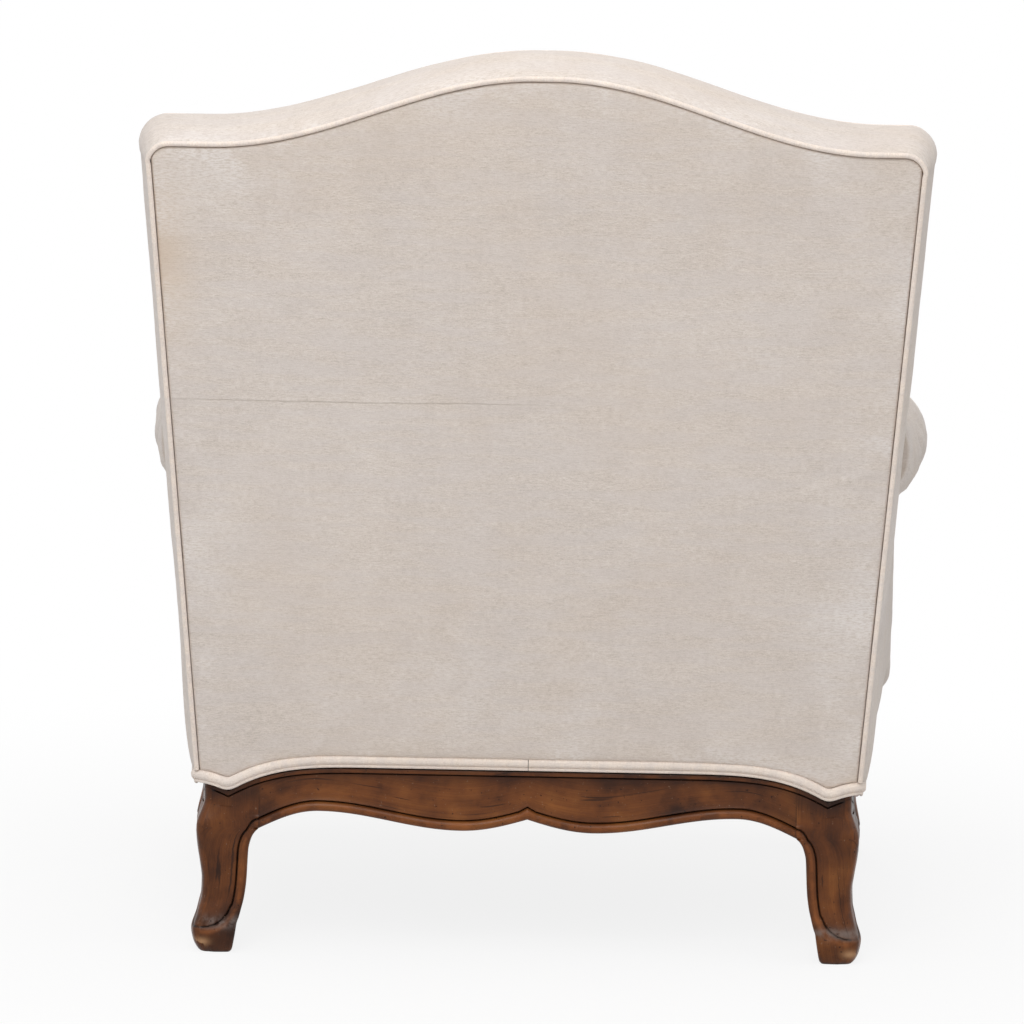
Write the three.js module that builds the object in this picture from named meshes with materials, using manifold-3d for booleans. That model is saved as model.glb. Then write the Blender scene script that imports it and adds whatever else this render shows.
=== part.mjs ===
// Bergere armchair: carved show-wood legs and rails under a raked, fully upholstered back with a serpentine crest,
// rolled arms, a sprung seat and a loose seat cushion. Millimetres, +Z up. The chair faces -Y, and left is the
// sitter's left, towards +X.
import * as THREE from "three";
import { mergeVertices } from "three/addons/utils/BufferGeometryUtils.js";
import Module from "manifold-3d";

const wasm = await Module();
wasm.setup();

// Fit between pieces that touch
const gap = 0.3;

// Plan of the seat frame, over the faces of its rails
const seatDepth = 620;
const rearWidth = 705;
const frontWidth = 797;
const frontBow = 35;

// Seat rails: a thick upper part, and a thinner apron with a carved lower edge
const frameTop = 272;
const railThickness = 40;
const apronThickness = 24;
const ledgeHeight = 180;
const upholsteryRecess = 5;
const ledgeRise = 0.5;
const apronCusp = 150.5;
const apronLobe = 137;
const apronArch = 155.5;
const apronEnd = 135.5;
const lobeShare = 0.245;
const archShare = 0.777;
const beadHeight = 10;
const beadProud = 1.5;
const beadRound = 2.5;
const grooveDepth = 2.5;
const filletHeight = 5;
const railSteps = 24;

// Line where the upholstery ends on the wood, by distance from a corner of the seat frame
const weltLineHeight = 203.3;
const weltCuspHeight = 175;
const weltCornerHeight = 184;
const weltCuspOffset = 34;
const weltRunOffset = 192.5;
const weltFallPower = 3.5;

// Legs: each row holds the height as a share of the apron's end height, then the outer and the inner face's
// offset from the corner's two face lines as shares of the leg block
const legBlock = 66.5;
const legCornerRound = 8;
const legEdgeRound = 1.5;
const legCrown = 1.2;
const legChamferShare = 0.68;
const cornerRoundShare = 0.3;
const grooveStartShare = 0.3;
const rearLegShares = [
  [0, 0.075, 0.55],
  [0.02, 0.04, 0.58],
  [0.09, -0.02, 0.61],
  [0.18, -0.05, 0.64],
  [0.24, -0.015, 0.66],
  [0.28, 0.015, 0.69],
  [0.35, 0.05, 0.73],
  [0.44, 0.09, 0.775],
  [0.57, 0.1, 0.81],
  [0.7, 0.07, 0.825],
  [0.83, 0.03, 0.84],
  [0.915, 0.01, 0.88],
  [0.965, 0, 0.93],
  [1, 0, 1],
];
const frontLegShares = [
  [0, 0.15, 0.62],
  [0.02, 0.115, 0.65],
  [0.09, 0.05, 0.68],
  [0.18, 0.075, 0.715],
  [0.24, 0.12, 0.74],
  [0.28, 0.155, 0.765],
  [0.35, 0.175, 0.8],
  [0.44, 0.16, 0.84],
  [0.57, 0.11, 0.865],
  [0.7, 0.06, 0.875],
  [0.83, 0.02, 0.885],
  [0.915, 0, 0.91],
  [0.965, 0, 0.95],
  [1, 0, 1],
];
const grooveTurnShares = [0.68, 0.95];
const grooveEndShare = 1.4;

// Corner blocks inside the seat frame
const cornerBlockReach = 125;
const cornerBlockHeight = 60;

// Back: a raked frame, measured along the rake from the foot of the back
const backRake = (13 * Math.PI) / 180;
const backFootHeight = 206;
const backFootProud = 3.1;
const backSideInset = 1.5;
const backSplay = 78;
const backLowWidth = rearWidth - 2 * backSideInset;
const backHighWidth = backLowWidth + backSplay;
const backHeight = 676;
const crestRise = 72;
const crestHalfSpan = 325;
const backCornerRadius = 12;
const backDepth = 112;
const backSteps = 6;
const crestSteps = 20;
const cornerSteps = 3;

// Back frame
const backPanelThickness = 4;
const backPostWidth = 40;
const crestRailDrop = 76;
const crestRailThickness = 40;
const lowerBackRailStart = 128;
const lowerBackRailHeight = 42;

// Back upholstery
const seamInset = 3.2;
const coverInset = 2.7;
const borderStart = 4;
const borderSideBulge = 7;
const borderTopBulge = 12.5;
const borderEdge = 0.5;
const borderShares = [0, 0.1, 0.28, 0.5, 0.72, 0.9, 1];
const backWebbingThickness = 2;
const burlapThickness = 1.2;
const backPaddingStart = 92;
const insideBackEdge = 5;
const insideBackCrown = 36;
const insideBackCentreRise = 40;
const armCutSteps = 4;
const insideBackShares = [
  [0.985, 0.12],
  [0.93, 0.38],
  [0.8, 0.68],
  [0.58, 0.9],
  [0.3, 0.98],
];

// Welts
const weltRadius = 2.6;
const weltSides = 6;
const doubleWeltThick = 4.5;
const doubleWeltThin = 2.2;
const doubleWeltLift = 2;
const doubleWeltCorner = 3;
const doubleWeltShares = [0.07, 0.18, 0.3, 0.45, 0.65, 0.85, 1];
const doubleWeltBowSteps = 12;

// Arms, measured outwards from their own face line, which leaves the side rails' towards the front
const armSpread = 30;
const armOuter = 4;
const armFootRound = 19;
const armFootRoundShares = [0.3, 0.14];
const armFrontHeight = 505;
const armRearHeight = 545;
const armSag = 8;
const rollCentre = 26;
const rollRadius = 66;
const rollEnd = (-62 * Math.PI) / 180;
const rollSteps = 10;
const cavityStart = (-20 * Math.PI) / 180;
const cavitySteps = 5;
const railUnderSteps = 4;
const armFaceCrown = 3;
const armInner = rollCentre + rollRadius + armFaceCrown;
const armSteps = 7;
const armRailHalfWidth = 34;
const armRailHalfHeight = 30;
const armPostDepth = 60;
const armTackRailFoot = 333;
const armTackRailHeight = 42;
const armTackRailWidth = 30;
const facingThickness = 11;
const facingCrown = 3;
const facingShares = [
  [1, 0],
  [0.97, 0.7],
  [0.85, 1],
];

// Seat suspension
const webbingThickness = 3;
const webbingBearing = 14;
const webbingStrip = 50;
const webbingPitch = 78;
const webbingRows = 6;
const springWire = 2;
const springRadius = 42;
const springWaistShare = 0.68;
const springTurns = 3.5;
const springTurnSteps = 8;
const springSides = 4;
const springPitch = 160;
const burlapCrown = 13.5;

// Seat deck and front border
const deckPadThickness = 18;
const deckClothThickness = 1.2;
const deckBearing = 20;
const borderLip = 75;
const borderLipThickness = 19;
const frontBorderBulge = 1.8;
const frontBorderSteps = 20;

// Loose seat cushion
const cushionClearance = 2.5;
const cushionRearClear = 18;
const cushionOverhang = 4;
const cushionBoxing = 108;
const cushionEdgeLift = 7;
const cushionCrown = 34;
const cushionBulge = 3;
const cushionRearRadius = 22;
const cushionFrontRadius = 16;
const cushionWeltRadius = 3;
const cushionWeltOut = 2.8;
const cushionWeltUp = 2.2;
const cushionBowSteps = 8;
const coverThickness = 2;
const zipLength = 380;
const zipWidth = 14;
const cushionUnderShares = [0.93, 0.985, 0.25];
const cushionShares = [
  [0.99, 0.2],
  [0.93, 0.48],
  [0.8, 0.74],
  [0.55, 0.93],
];

// Dust cover under the seat
const dustCoverThickness = 1.2;

// Finishes
const paint = (color, roughness) => new THREE.MeshStandardMaterial({ color, roughness, metalness: 0 });
const walnut = paint("#6b3a1d", 0.45);
const hardwood = paint("#c9a878", 0.8);
const velvet = paint("#e4d5c3", 0.95);
const weltVelvet = paint("#ead9c4", 0.9);
const jute = paint("#b08d5b", 1);
const burlap = paint("#b89a6a", 1);
const cotton = paint("#efe9dc", 1);
const platformCloth = paint("#d9cdb8", 1);
const cambric = paint("#26241f", 1);
const zipTape = paint("#d8cab4", 0.8);
const springSteel = new THREE.MeshStandardMaterial({ color: "#8d8f92", roughness: 0.4, metalness: 1 });

const chair = new THREE.Group();

function add(name, geometry, material) {
  const mesh = new THREE.Mesh(geometry, material);
  mesh.name = name;
  chair.add(mesh);
}

// Both sides of the chair: +1 is the sitter's left
const hands = { left: 1, right: -1 };
const flare = Math.atan2((frontWidth - rearWidth) / 2, seatDepth);
const coverFlare = Math.atan2((frontWidth - rearWidth) / 2 + armSpread, seatDepth);

function mix(from, to, share) {
  return from + (to - from) * share;
}

// A closed mesh from points and triangles, with its faces turned outwards
function closedGeometry(points, triangles) {
  let volume = 0;
  for (const [a, b, c] of triangles) {
    volume += points[a].dot(new THREE.Vector3().crossVectors(points[b], points[c]));
  }
  const faces = volume < 0 ? triangles.map(([a, b, c]) => [a, c, b]) : triangles;
  const geometry = new THREE.BufferGeometry().setFromPoints(points);
  geometry.setIndex(faces.flat());
  geometry.computeVertexNormals();
  return geometry;
}

function ringQuads(first, second, count) {
  const quads = [];
  for (let i = 0; i < count; i += 1) {
    const next = (i + 1) % count;
    quads.push([first + i, first + next, second + next], [first + i, second + next, second + i]);
  }
  return quads;
}

// A skin through equal sections, capped at both ends or closed into a loop
function loft(sections, place, isLoop = false) {
  const flat = (section) => section.map(([u, v]) => new THREE.Vector2(u, v));
  const turned = THREE.ShapeUtils.isClockWise(flat(sections[0]));
  const ordered = turned ? sections.map((section) => [...section].reverse()) : sections;
  const count = ordered[0].length;
  const points = ordered.flatMap((section, index) => section.map(([u, v]) => place(index, u, v)));
  const triangles = [];
  ordered.forEach((_, index) => {
    const next = index + 1 < ordered.length ? index + 1 : 0;
    if (next > 0 || isLoop) triangles.push(...ringQuads(index * count, next * count, count));
  });
  if (!isLoop) {
    const last = (ordered.length - 1) * count;
    const startCap = THREE.ShapeUtils.triangulateShape(flat(ordered[0]), []);
    const endCap = THREE.ShapeUtils.triangulateShape(flat(ordered.at(-1)), []);
    triangles.push(...startCap.map(([a, b, c]) => [a, c, b]));
    triangles.push(...endCap.map(([a, b, c]) => [last + a, last + b, last + c]));
  }
  return closedGeometry(points, triangles);
}

// A plate between two levels of one outline
function plate(outline, low, high, place) {
  const levels = [low, high];
  return loft([outline, outline], (index, u, v) => place(u, v, levels[index]));
}

function toManifold(geometry) {
  const bare = geometry.clone();
  bare.deleteAttribute("normal");
  bare.deleteAttribute("uv");
  const merged = mergeVertices(bare);
  const vertProperties = merged.attributes.position.array;
  return new wasm.Manifold(new wasm.Mesh({ numProp: 3, vertProperties, triVerts: merged.index.array }));
}

function toGeometry(manifold) {
  const mesh = manifold.getMesh();
  const geometry = new THREE.BufferGeometry();
  geometry.setAttribute("position", new THREE.BufferAttribute(mesh.vertProperties, mesh.numProp));
  geometry.setIndex(new THREE.BufferAttribute(mesh.triVerts, 1));
  geometry.computeVertexNormals();
  return geometry;
}

// A plate with holes through it
function piercedPlate(outline, holes, low, high, place) {
  const thickness = high - low;
  const drill = (hole) => toManifold(plate(hole, low - thickness, high + thickness, place));
  const body = toManifold(plate(outline, low, high, place));
  return toGeometry(holes.reduce((rest, hole) => rest.subtract(drill(hole)), body));
}

// A pillow of rings that shrink an outline towards a centre and turn oval as they do
function pillow(outline, centre, rings, place) {
  const count = outline.length;
  const points = [place(centre[0], centre[1], rings[0][1])];
  const halfU = Math.min(...[1, -1].map((side) => Math.max(...outline.map(([u]) => side * (u - centre[0])))));
  const halfV = Math.min(...[1, -1].map((side) => Math.max(...outline.map(([, v]) => side * (v - centre[1])))));
  for (const [share, level] of rings) {
    for (const [u, v] of outline) {
      const oval = 1 / Math.hypot((u - centre[0]) / halfU, (v - centre[1]) / halfV);
      const reach = share < 1 ? share * mix(oval, 1, share) : share;
      points.push(place(mix(centre[0], u, reach), mix(centre[1], v, reach), level));
    }
  }
  points.push(place(centre[0], centre[1], rings.at(-1)[1]));
  const triangles = [];
  const last = points.length - 1;
  for (let i = 0; i < count; i += 1) {
    const next = (i + 1) % count;
    triangles.push([0, 1 + next, 1 + i]);
    triangles.push([last, last - count + i, last - count + next]);
  }
  for (let ring = 0; ring + 1 < rings.length; ring += 1) {
    triangles.push(...ringQuads(1 + ring * count, 1 + (ring + 1) * count, count));
  }
  return closedGeometry(points, triangles);
}

// A section carried along a path, with its height along one direction
function sweep(path, section, up, isLoop = false) {
  const frames = path.map((point, i) => {
    const before = path.at(isLoop ? i - 1 : Math.max(i - 1, 0));
    const after = path[isLoop ? (i + 1) % path.length : Math.min(i + 1, path.length - 1)];
    const along = after.clone().sub(before).normalize();
    return { point, side: new THREE.Vector3().crossVectors(along, up).normalize() };
  });
  const place = (index, across, high) => {
    const { point, side } = frames[index];
    return point.clone().addScaledVector(side, across).addScaledVector(up, high);
  };
  return loft(path.map(() => section), place, isLoop);
}

function roundSection(radius, sides) {
  return Array.from({ length: sides }, (_, i) => {
    const turn = (2 * Math.PI * i) / sides;
    return [radius * Math.cos(turn), radius * Math.sin(turn)];
  });
}

// Moves each point of an open line along its normal, to the left of its run
function offsetLine(line, distance) {
  return line.map(([x, y], i) => {
    const [beforeX, beforeY] = line[Math.max(i - 1, 0)];
    const [afterX, afterY] = line[Math.min(i + 1, line.length - 1)];
    const run = Math.hypot(afterX - beforeX, afterY - beforeY);
    return [x - (distance * (afterY - beforeY)) / run, y + (distance * (afterX - beforeX)) / run];
  });
}

const upwards = new THREE.Vector3(0, 0, 1);
const forwards = new THREE.Vector3(0, -1, 0);
const upright = (x, y, z) => new THREE.Vector3(x, y, z);

function mirrored(line) {
  return line.map(([x, y]) => [-x, y]).reverse();
}

// Levels of the sprung seat, up from the top of its frame
const burlapHeight = frameTop + burlapCrown;
const deckPadFoot = burlapHeight + burlapThickness + gap;
const deckPadTop = deckPadFoot + deckPadThickness;
const deckHeight = deckPadTop + gap + deckClothThickness;
const armPadFoot = deckPadFoot;

// Seat frame in plan
const rearFace = seatDepth / 2;
const frontFace = -seatDepth / 2;

function sideFace(y) {
  return mix(rearWidth, frontWidth, (rearFace - y) / seatDepth) / 2;
}

// How far the arms stand out over the side rails
function armOverhang(y) {
  return (armSpread * (rearFace - y)) / seatDepth;
}

function armFace(y) {
  return sideFace(y) + armOverhang(y);
}

function bowAt(x) {
  const halfSpan = armFace(frontFace) - armInner;
  return Math.abs(x) < halfSpan ? frontBow * Math.cos((Math.PI * x) / halfSpan / 2) ** 2 : 0;
}

function weltLine(cornerDistance) {
  if (cornerDistance < weltCuspOffset) {
    const share = (weltCuspOffset - cornerDistance) / weltCuspOffset;
    return mix(weltCuspHeight, weltCornerHeight, Math.sin((Math.PI / 2) * Math.min(share, 1)));
  }
  const share = (weltRunOffset - cornerDistance) / (weltRunOffset - weltCuspOffset);
  return mix(weltLineHeight, weltCuspHeight, Math.max(share, 0) ** weltFallPower);
}

const doubleWeltHeight = 2 * (doubleWeltThick + doubleWeltThin);
const weltStations = [doubleWeltCorner, ...doubleWeltShares.map((share) => share * weltRunOffset)];

// Lower edge of the upholstery, above the double welt
function coverFoot(cornerDistance) {
  return weltLine(cornerDistance) + doubleWeltLift + doubleWeltHeight + 3 * gap;
}

function apronEdge(share) {
  if (share < lobeShare) {
    return mix(apronCusp, apronLobe, Math.sin(((Math.PI / 2) * share) / lobeShare));
  }
  if (share < archShare) {
    const turn = (Math.PI * (share - lobeShare)) / (archShare - lobeShare);
    return mix(apronLobe, apronArch, (1 - Math.cos(turn)) / 2);
  }
  const turn = ((Math.PI / 2) * (share - archShare)) / (1 - archShare);
  return mix(apronArch, apronEnd, 1 - Math.cos(turn));
}

// Seat rails: sections of depth from the face and height, along the rail from end to end
function seatRail(halfLength, place) {
  const shares = Array.from({ length: railSteps + 1 }, (_, i) => (2 * i) / railSteps - 1);
  const sections = shares.map((share) => {
    const low = apronEdge(Math.abs(share));
    const top = weltLine(legBlock + halfLength * (1 - Math.abs(share)));
    return [
      [apronThickness, low],
      [beadRound, low],
      [-beadProud, low + beadRound],
      [-beadProud, low + beadHeight - beadRound],
      [grooveDepth, low + beadHeight],
      [0, low + beadHeight + grooveDepth],
      [0, top - filletHeight - grooveDepth / 2],
      [grooveDepth / 2, top - filletHeight],
      [0, top - filletHeight + grooveDepth / 2],
      [0, top],
      [upholsteryRecess, top + ledgeRise],
      [upholsteryRecess, frameTop],
      [railThickness, frameTop],
      [railThickness, ledgeHeight],
      [apronThickness, ledgeHeight],
    ];
  });
  return loft(sections, (index, depth, z) => place(shares[index], depth, z));
}

const rearHalf = rearWidth / 2 - legBlock - gap;
const frontHalf = frontWidth / 2 - legBlock - gap;
const sideHalf = seatDepth / 2 - legBlock * Math.cos(flare) - gap;

add(
  "rear_seat_rail",
  seatRail(rearHalf, (share, depth, z) => {
    return new THREE.Vector3(share * (rearHalf + depth * Math.tan(flare)), rearFace - depth, z);
  }),
  walnut,
);
add(
  "front_seat_rail",
  seatRail(frontHalf, (share, depth, z) => {
    const x = share * (frontHalf - depth * Math.tan(flare));
    return new THREE.Vector3(x, frontFace - bowAt(share * frontHalf) + depth, z);
  }),
  walnut,
);
for (const [hand, sign] of Object.entries(hands)) {
  add(
    `${hand}_seat_rail`,
    seatRail(sideHalf, (share, depth, z) => {
      const y = share * sideHalf;
      return new THREE.Vector3(sign * (sideFace(y) - depth), y, z);
    }),
    walnut,
  );
}

// Corners of the seat frame: a runs along the front or rear face, b along the side face
const corners = [
  { end: "front", hand: "left" },
  { end: "front", hand: "right" },
  { end: "rear", hand: "left" },
  { end: "rear", hand: "right" },
];

function cornerPoint({ end, hand }, a, b, z) {
  const isRear = end === "rear";
  const corner = isRear ? rearWidth / 2 : frontWidth / 2;
  const drift = (isRear ? b : -b) * Math.sin(flare);
  const y = isRear ? rearFace - b * Math.cos(flare) : frontFace + b * Math.cos(flare);
  return new THREE.Vector3(hands[hand] * (corner - a + drift), y, z);
}

// One level of a leg: rounded outer corner, a bead and groove near both inner edges, and a chamfered back
function legSection(outer, inner, bead, groove, crown) {
  const chamfer = mix(outer, inner, legChamferShare);
  const cusp = crown > 0 ? mix(outer, inner, 1 / 2) : weltCuspOffset;
  const half = [
    [inner, outer + legEdgeRound],
    [inner - legEdgeRound, outer],
    [inner - bead, outer],
    [inner - bead - grooveDepth, outer + groove],
    [inner - bead - 2 * grooveDepth, outer],
    [cusp, outer - crown],
    [outer + legCornerRound, outer],
  ];
  const knuckle = outer + legCornerRound * cornerRoundShare;
  const otherHalf = half.map(([a, b]) => [b, a]).reverse();
  return [...half, [knuckle, knuckle], ...otherHalf, [chamfer, inner], [inner, chamfer]];
}

function leg(corner, profileShares) {
  const sections = [];
  const levels = [];
  const lay = (section, level) => {
    sections.push(section);
    levels.push(level);
  };
  for (const [heightShare, outerShare, innerShare] of profileShares) {
    const isGrooved = heightShare > grooveStartShare;
    const section = legSection(
      legBlock * outerShare,
      legBlock * innerShare,
      beadHeight,
      isGrooved ? grooveDepth : 0,
      heightShare < 1 ? legCrown : 0,
    );
    lay(section, () => apronEnd * heightShare);
  }
  for (const turnShare of grooveTurnShares) {
    const bead = beadHeight * Math.sqrt(1 - turnShare ** 2);
    lay(legSection(0, legBlock, bead, grooveDepth, 0), () => apronEnd + beadHeight * turnShare);
  }
  const block = legSection(0, legBlock, beadHeight, 0, 0);
  const recessed = block.map(([a, b]) => [Math.max(a, upholsteryRecess), Math.max(b, upholsteryRecess)]);
  lay(block, () => apronEnd + beadHeight * grooveEndShare);
  lay(block, (a, b) => weltLine(Math.min(a + b, legBlock)));
  lay(recessed, (a, b) => weltLine(Math.min(a + b - upholsteryRecess, legBlock)) + ledgeRise);
  lay(recessed, () => frameTop);
  return loft(sections, (index, a, b) => cornerPoint(corner, a, b, levels[index](a, b)));
}

for (const corner of corners) {
  const profileShares = corner.end === "rear" ? rearLegShares : frontLegShares;
  add(`${corner.end}_${corner.hand}_leg`, leg(corner, profileShares), walnut);
}

// Corner blocks, glued between the rails behind each leg
const railInside = railThickness + gap;
const chamferSum = legBlock * (1 + legChamferShare);
const blockStart = legBlock + gap;
const webbingTop = ledgeHeight - gap;
const cornerBlockFoot = ledgeHeight + gap;

for (const corner of corners) {
  const inside = railInside / Math.cos(flare);
  const outline = [
    [blockStart, inside],
    [cornerBlockReach, inside],
    [railInside + gap, cornerBlockReach],
    [railInside + gap, blockStart],
    [chamferSum - blockStart + 2 * gap, blockStart],
    [blockStart, chamferSum - blockStart + 2 * gap],
  ];
  add(
    `${corner.end}_${corner.hand}_corner_block`,
    plate(outline, cornerBlockFoot, cornerBlockFoot + cornerBlockHeight, (a, b, z) => {
      return cornerPoint(corner, a, b, z);
    }),
    hardwood,
  );
}

// Raked back: across, up along the rake, and forwards from the face of the outside back
const backPlane = rearFace + backFootProud;

function backHalf(up) {
  return mix(backLowWidth, backHighWidth, up / backHeight) / 2;
}

// How much wider the back is forward of its outside face, as it flares with the arms
function widening(up, forward) {
  return 1 + (forward * Math.tan(coverFlare) * Math.cos(backRake)) / backHalf(up);
}

function backPoint(x, up, forward) {
  const y = backPlane + up * Math.sin(backRake) - forward * Math.cos(backRake);
  const z = backFootHeight + up * Math.cos(backRake) + forward * Math.sin(backRake);
  return new THREE.Vector3(x * widening(up, forward), y, z);
}

function upAtHeight(z, forward) {
  return (z - backFootHeight - forward * Math.sin(backRake)) / Math.cos(backRake);
}

// The y of a point at height z on the plane that lies forward of the outside back
function backPlaneAt(z, forward) {
  return backPlane + (z - backFootHeight) * Math.tan(backRake) - forward / Math.cos(backRake);
}

function crestAt(x) {
  const share = Math.min(Math.abs(x) / crestHalfSpan, 1);
  return backHeight + crestRise * Math.cos((Math.PI / 2) * share) ** 2;
}

// Seam line of the back from its left foot, over the crest, to its right foot
function backSeam(startUp) {
  const cornerUp = backHeight - backCornerRadius;
  const side = Array.from({ length: backSteps + 1 }, (_, i) => {
    const up = mix(startUp, cornerUp, i / backSteps);
    return [backHalf(up), up];
  });
  const cornerCentre = backHalf(backHeight) - backCornerRadius;
  const corner = Array.from({ length: cornerSteps }, (_, i) => {
    const turn = ((Math.PI / 2) * (i + 1)) / (cornerSteps + 1);
    const across = cornerCentre + backCornerRadius * Math.cos(turn);
    return [across, cornerUp + backCornerRadius * Math.sin(turn)];
  });
  const crest = Array.from({ length: crestSteps / 2 }, (_, i) => {
    const x = cornerCentre * (1 - (2 * i) / crestSteps);
    return [x, crestAt(x)];
  });
  const half = [...side, ...corner, ...crest];
  return [...half, [0, crestAt(0)], ...mirrored(half)];
}

// Outline of a flat piece inside the seam line, with a straight foot
function backOutline(inset, footUp) {
  return offsetLine(backSeam(footUp), inset);
}

const frameInset = coverInset + gap;
const backFrameStart = backPanelThickness + gap;
const backWebbingStart = backFrameStart + crestRailThickness + gap;
const backBurlapStart = backWebbingStart + backWebbingThickness + gap;
const backPaddingBack = backBurlapStart + burlapThickness + gap;

for (const [hand, sign] of Object.entries(hands)) {
  const postTop = backHeight - frameInset;
  const outline = (outer) => [
    [frameInset + backPostWidth, backFrameStart],
    [outer, backFrameStart],
    [outer, backDepth],
    [frameInset + backPostWidth, backDepth],
  ];
  add(
    `${hand}_back_post`,
    loft([outline(frameInset), outline(frameInset), outline(backCornerRadius)], (index, inwards, forward) => {
      const up = [upAtHeight(frameTop + gap, forward), postTop - backCornerRadius, postTop][index];
      return backPoint(sign * (backHalf(up) - inwards), up, forward);
    }),
    hardwood,
  );
}

// Crest rail and lower rail, let in between the posts
function betweenPosts(up) {
  return backHalf(up) - frameInset - backPostWidth - gap;
}

const crestRailFoot = backHeight - crestRailDrop;
const crestRailTop = Array.from({ length: crestSteps + 1 }, (_, i) => {
  const x = betweenPosts(backHeight) * (1 - (2 * i) / crestSteps);
  return [x, crestAt(x) - frameInset - gap];
});
const crestRailOutline = [
  [-betweenPosts(crestRailFoot), crestRailFoot],
  [betweenPosts(crestRailFoot), crestRailFoot],
  ...crestRailTop,
];
add(
  "crest_rail",
  plate(crestRailOutline, backFrameStart, backFrameStart + crestRailThickness, backPoint),
  hardwood,
);

const lowerBackRailEnd = lowerBackRailStart + lowerBackRailHeight;
const lowerBackRailOutline = [
  [-betweenPosts(lowerBackRailStart), lowerBackRailStart],
  [betweenPosts(lowerBackRailStart), lowerBackRailStart],
  [betweenPosts(lowerBackRailEnd), lowerBackRailEnd],
  [-betweenPosts(lowerBackRailEnd), lowerBackRailEnd],
];
add(
  "lower_back_rail",
  plate(lowerBackRailOutline, backFrameStart, backFrameStart + crestRailThickness, backPoint),
  hardwood,
);

// Openings left between crossing strips of webbing
function webbingHoles(countX, countY, centreX, centreY) {
  const hole = (webbingPitch - webbingStrip) / 2;
  const middles = (count, centre) => {
    return Array.from({ length: count }, (_, i) => centre + (i - (count - 1) / 2) * webbingPitch);
  };
  return middles(countX, centreX).flatMap((x) => {
    return middles(countY, centreY).map((y) => [
      [x - hole, y - hole],
      [x - hole, y + hole],
      [x + hole, y + hole],
      [x + hole, y - hole],
    ]);
  });
}

const backWebbingTop = crestRailFoot + crestRailDrop / 2;
const backWebbingMiddle = (lowerBackRailStart + backWebbingTop) / 2;
const backWebbingOutline = [
  [-betweenPosts(lowerBackRailStart), lowerBackRailStart],
  [betweenPosts(lowerBackRailStart), lowerBackRailStart],
  [betweenPosts(backWebbingTop), backWebbingTop],
  [-betweenPosts(backWebbingTop), backWebbingTop],
];
add(
  "back_webbing",
  piercedPlate(
    backWebbingOutline,
    webbingHoles(webbingRows, webbingRows - 1, 0, backWebbingMiddle),
    backWebbingStart,
    backWebbingStart + backWebbingThickness,
    backPoint,
  ),
  jute,
);
add(
  "back_burlap",
  plate(backWebbingOutline, backBurlapStart, backBurlapStart + burlapThickness, backPoint),
  burlap,
);

const backPaddingOutline = [
  [-betweenPosts(backPaddingStart), backPaddingStart],
  [betweenPosts(backPaddingStart), backPaddingStart],
  ...crestRailTop,
];
add("back_padding", plate(backPaddingOutline, backPaddingBack, backDepth, backPoint), cotton);

// Outside back, cut to the double welt at its foot
const panelFootHalf = backHalf(0) - seamInset;
const outsideBackFootHalf = [panelFootHalf, ...weltStations.slice(1).map((along) => rearWidth / 2 - along)];
const outsideBackFoot = [...outsideBackFootHalf.map((x) => -x), ...[...outsideBackFootHalf].reverse()].map((x) => {
  return [x, upAtHeight(coverFoot(rearWidth / 2 - Math.abs(x)), 0)];
});
const panelSides = backOutline(seamInset, backCornerRadius).slice(1, -1);
add(
  "outside_back_panel",
  plate([...outsideBackFoot, ...panelSides], 0, backPanelThickness, backPoint),
  velvet,
);

// Border round the sides and the crest, boxed between the two seams
function borderSection(bulge) {
  const outer = borderShares.map((share) => {
    return [borderEdge + bulge * Math.sin(Math.PI * share), mix(borderStart, backDepth, share)];
  });
  return [...outer, [-coverInset, backDepth], [-coverInset, borderStart]];
}

const borderLine = backSeam(0);
const borderNormals = offsetLine(borderLine, -1).map(([x, up], i) => [x - borderLine[i][0], up - borderLine[i][1]]);
add(
  "back_border",
  loft(
    borderNormals.map(([, rise]) => borderSection(mix(borderSideBulge, borderTopBulge, Math.max(rise, 0)))),
    (index, out, forward) => {
      const [x, up] = borderLine[index];
      const [across, rise] = borderNormals[index];
      const isFoot = index === 0 || index === borderLine.length - 1;
      const cornerDistance = Math.abs(rearFace - backPlaneAt(weltCornerHeight, forward));
      const footUp = upAtHeight(coverFoot(cornerDistance), forward);
      return backPoint(x + out * across, isFoot ? footUp : up + out * rise, forward);
    },
  ),
  velvet,
);

const acrossBack = new THREE.Vector3(0, -Math.cos(backRake), Math.sin(backRake));
const rearWeltFoot = upAtHeight(coverFoot(0) + weltRadius + gap, 0);
add(
  "back_rear_welt",
  sweep(
    backSeam(rearWeltFoot).map(([x, up]) => backPoint(x, up, gap)),
    roundSection(weltRadius, weltSides),
    acrossBack,
  ),
  weltVelvet,
);

const armTopRear = armRearHeight + rollRadius;
const wingFoot = upAtHeight(armTopRear + weltRadius, backDepth);
const frontWeltForward = backDepth + weltRadius + gap;
add(
  "back_front_welt",
  sweep(
    backSeam(wingFoot + weltRadius).map(([x, up]) => backPoint(x, up, frontWeltForward)),
    roundSection(weltRadius, weltSides),
    acrossBack,
  ),
  weltVelvet,
);

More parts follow.
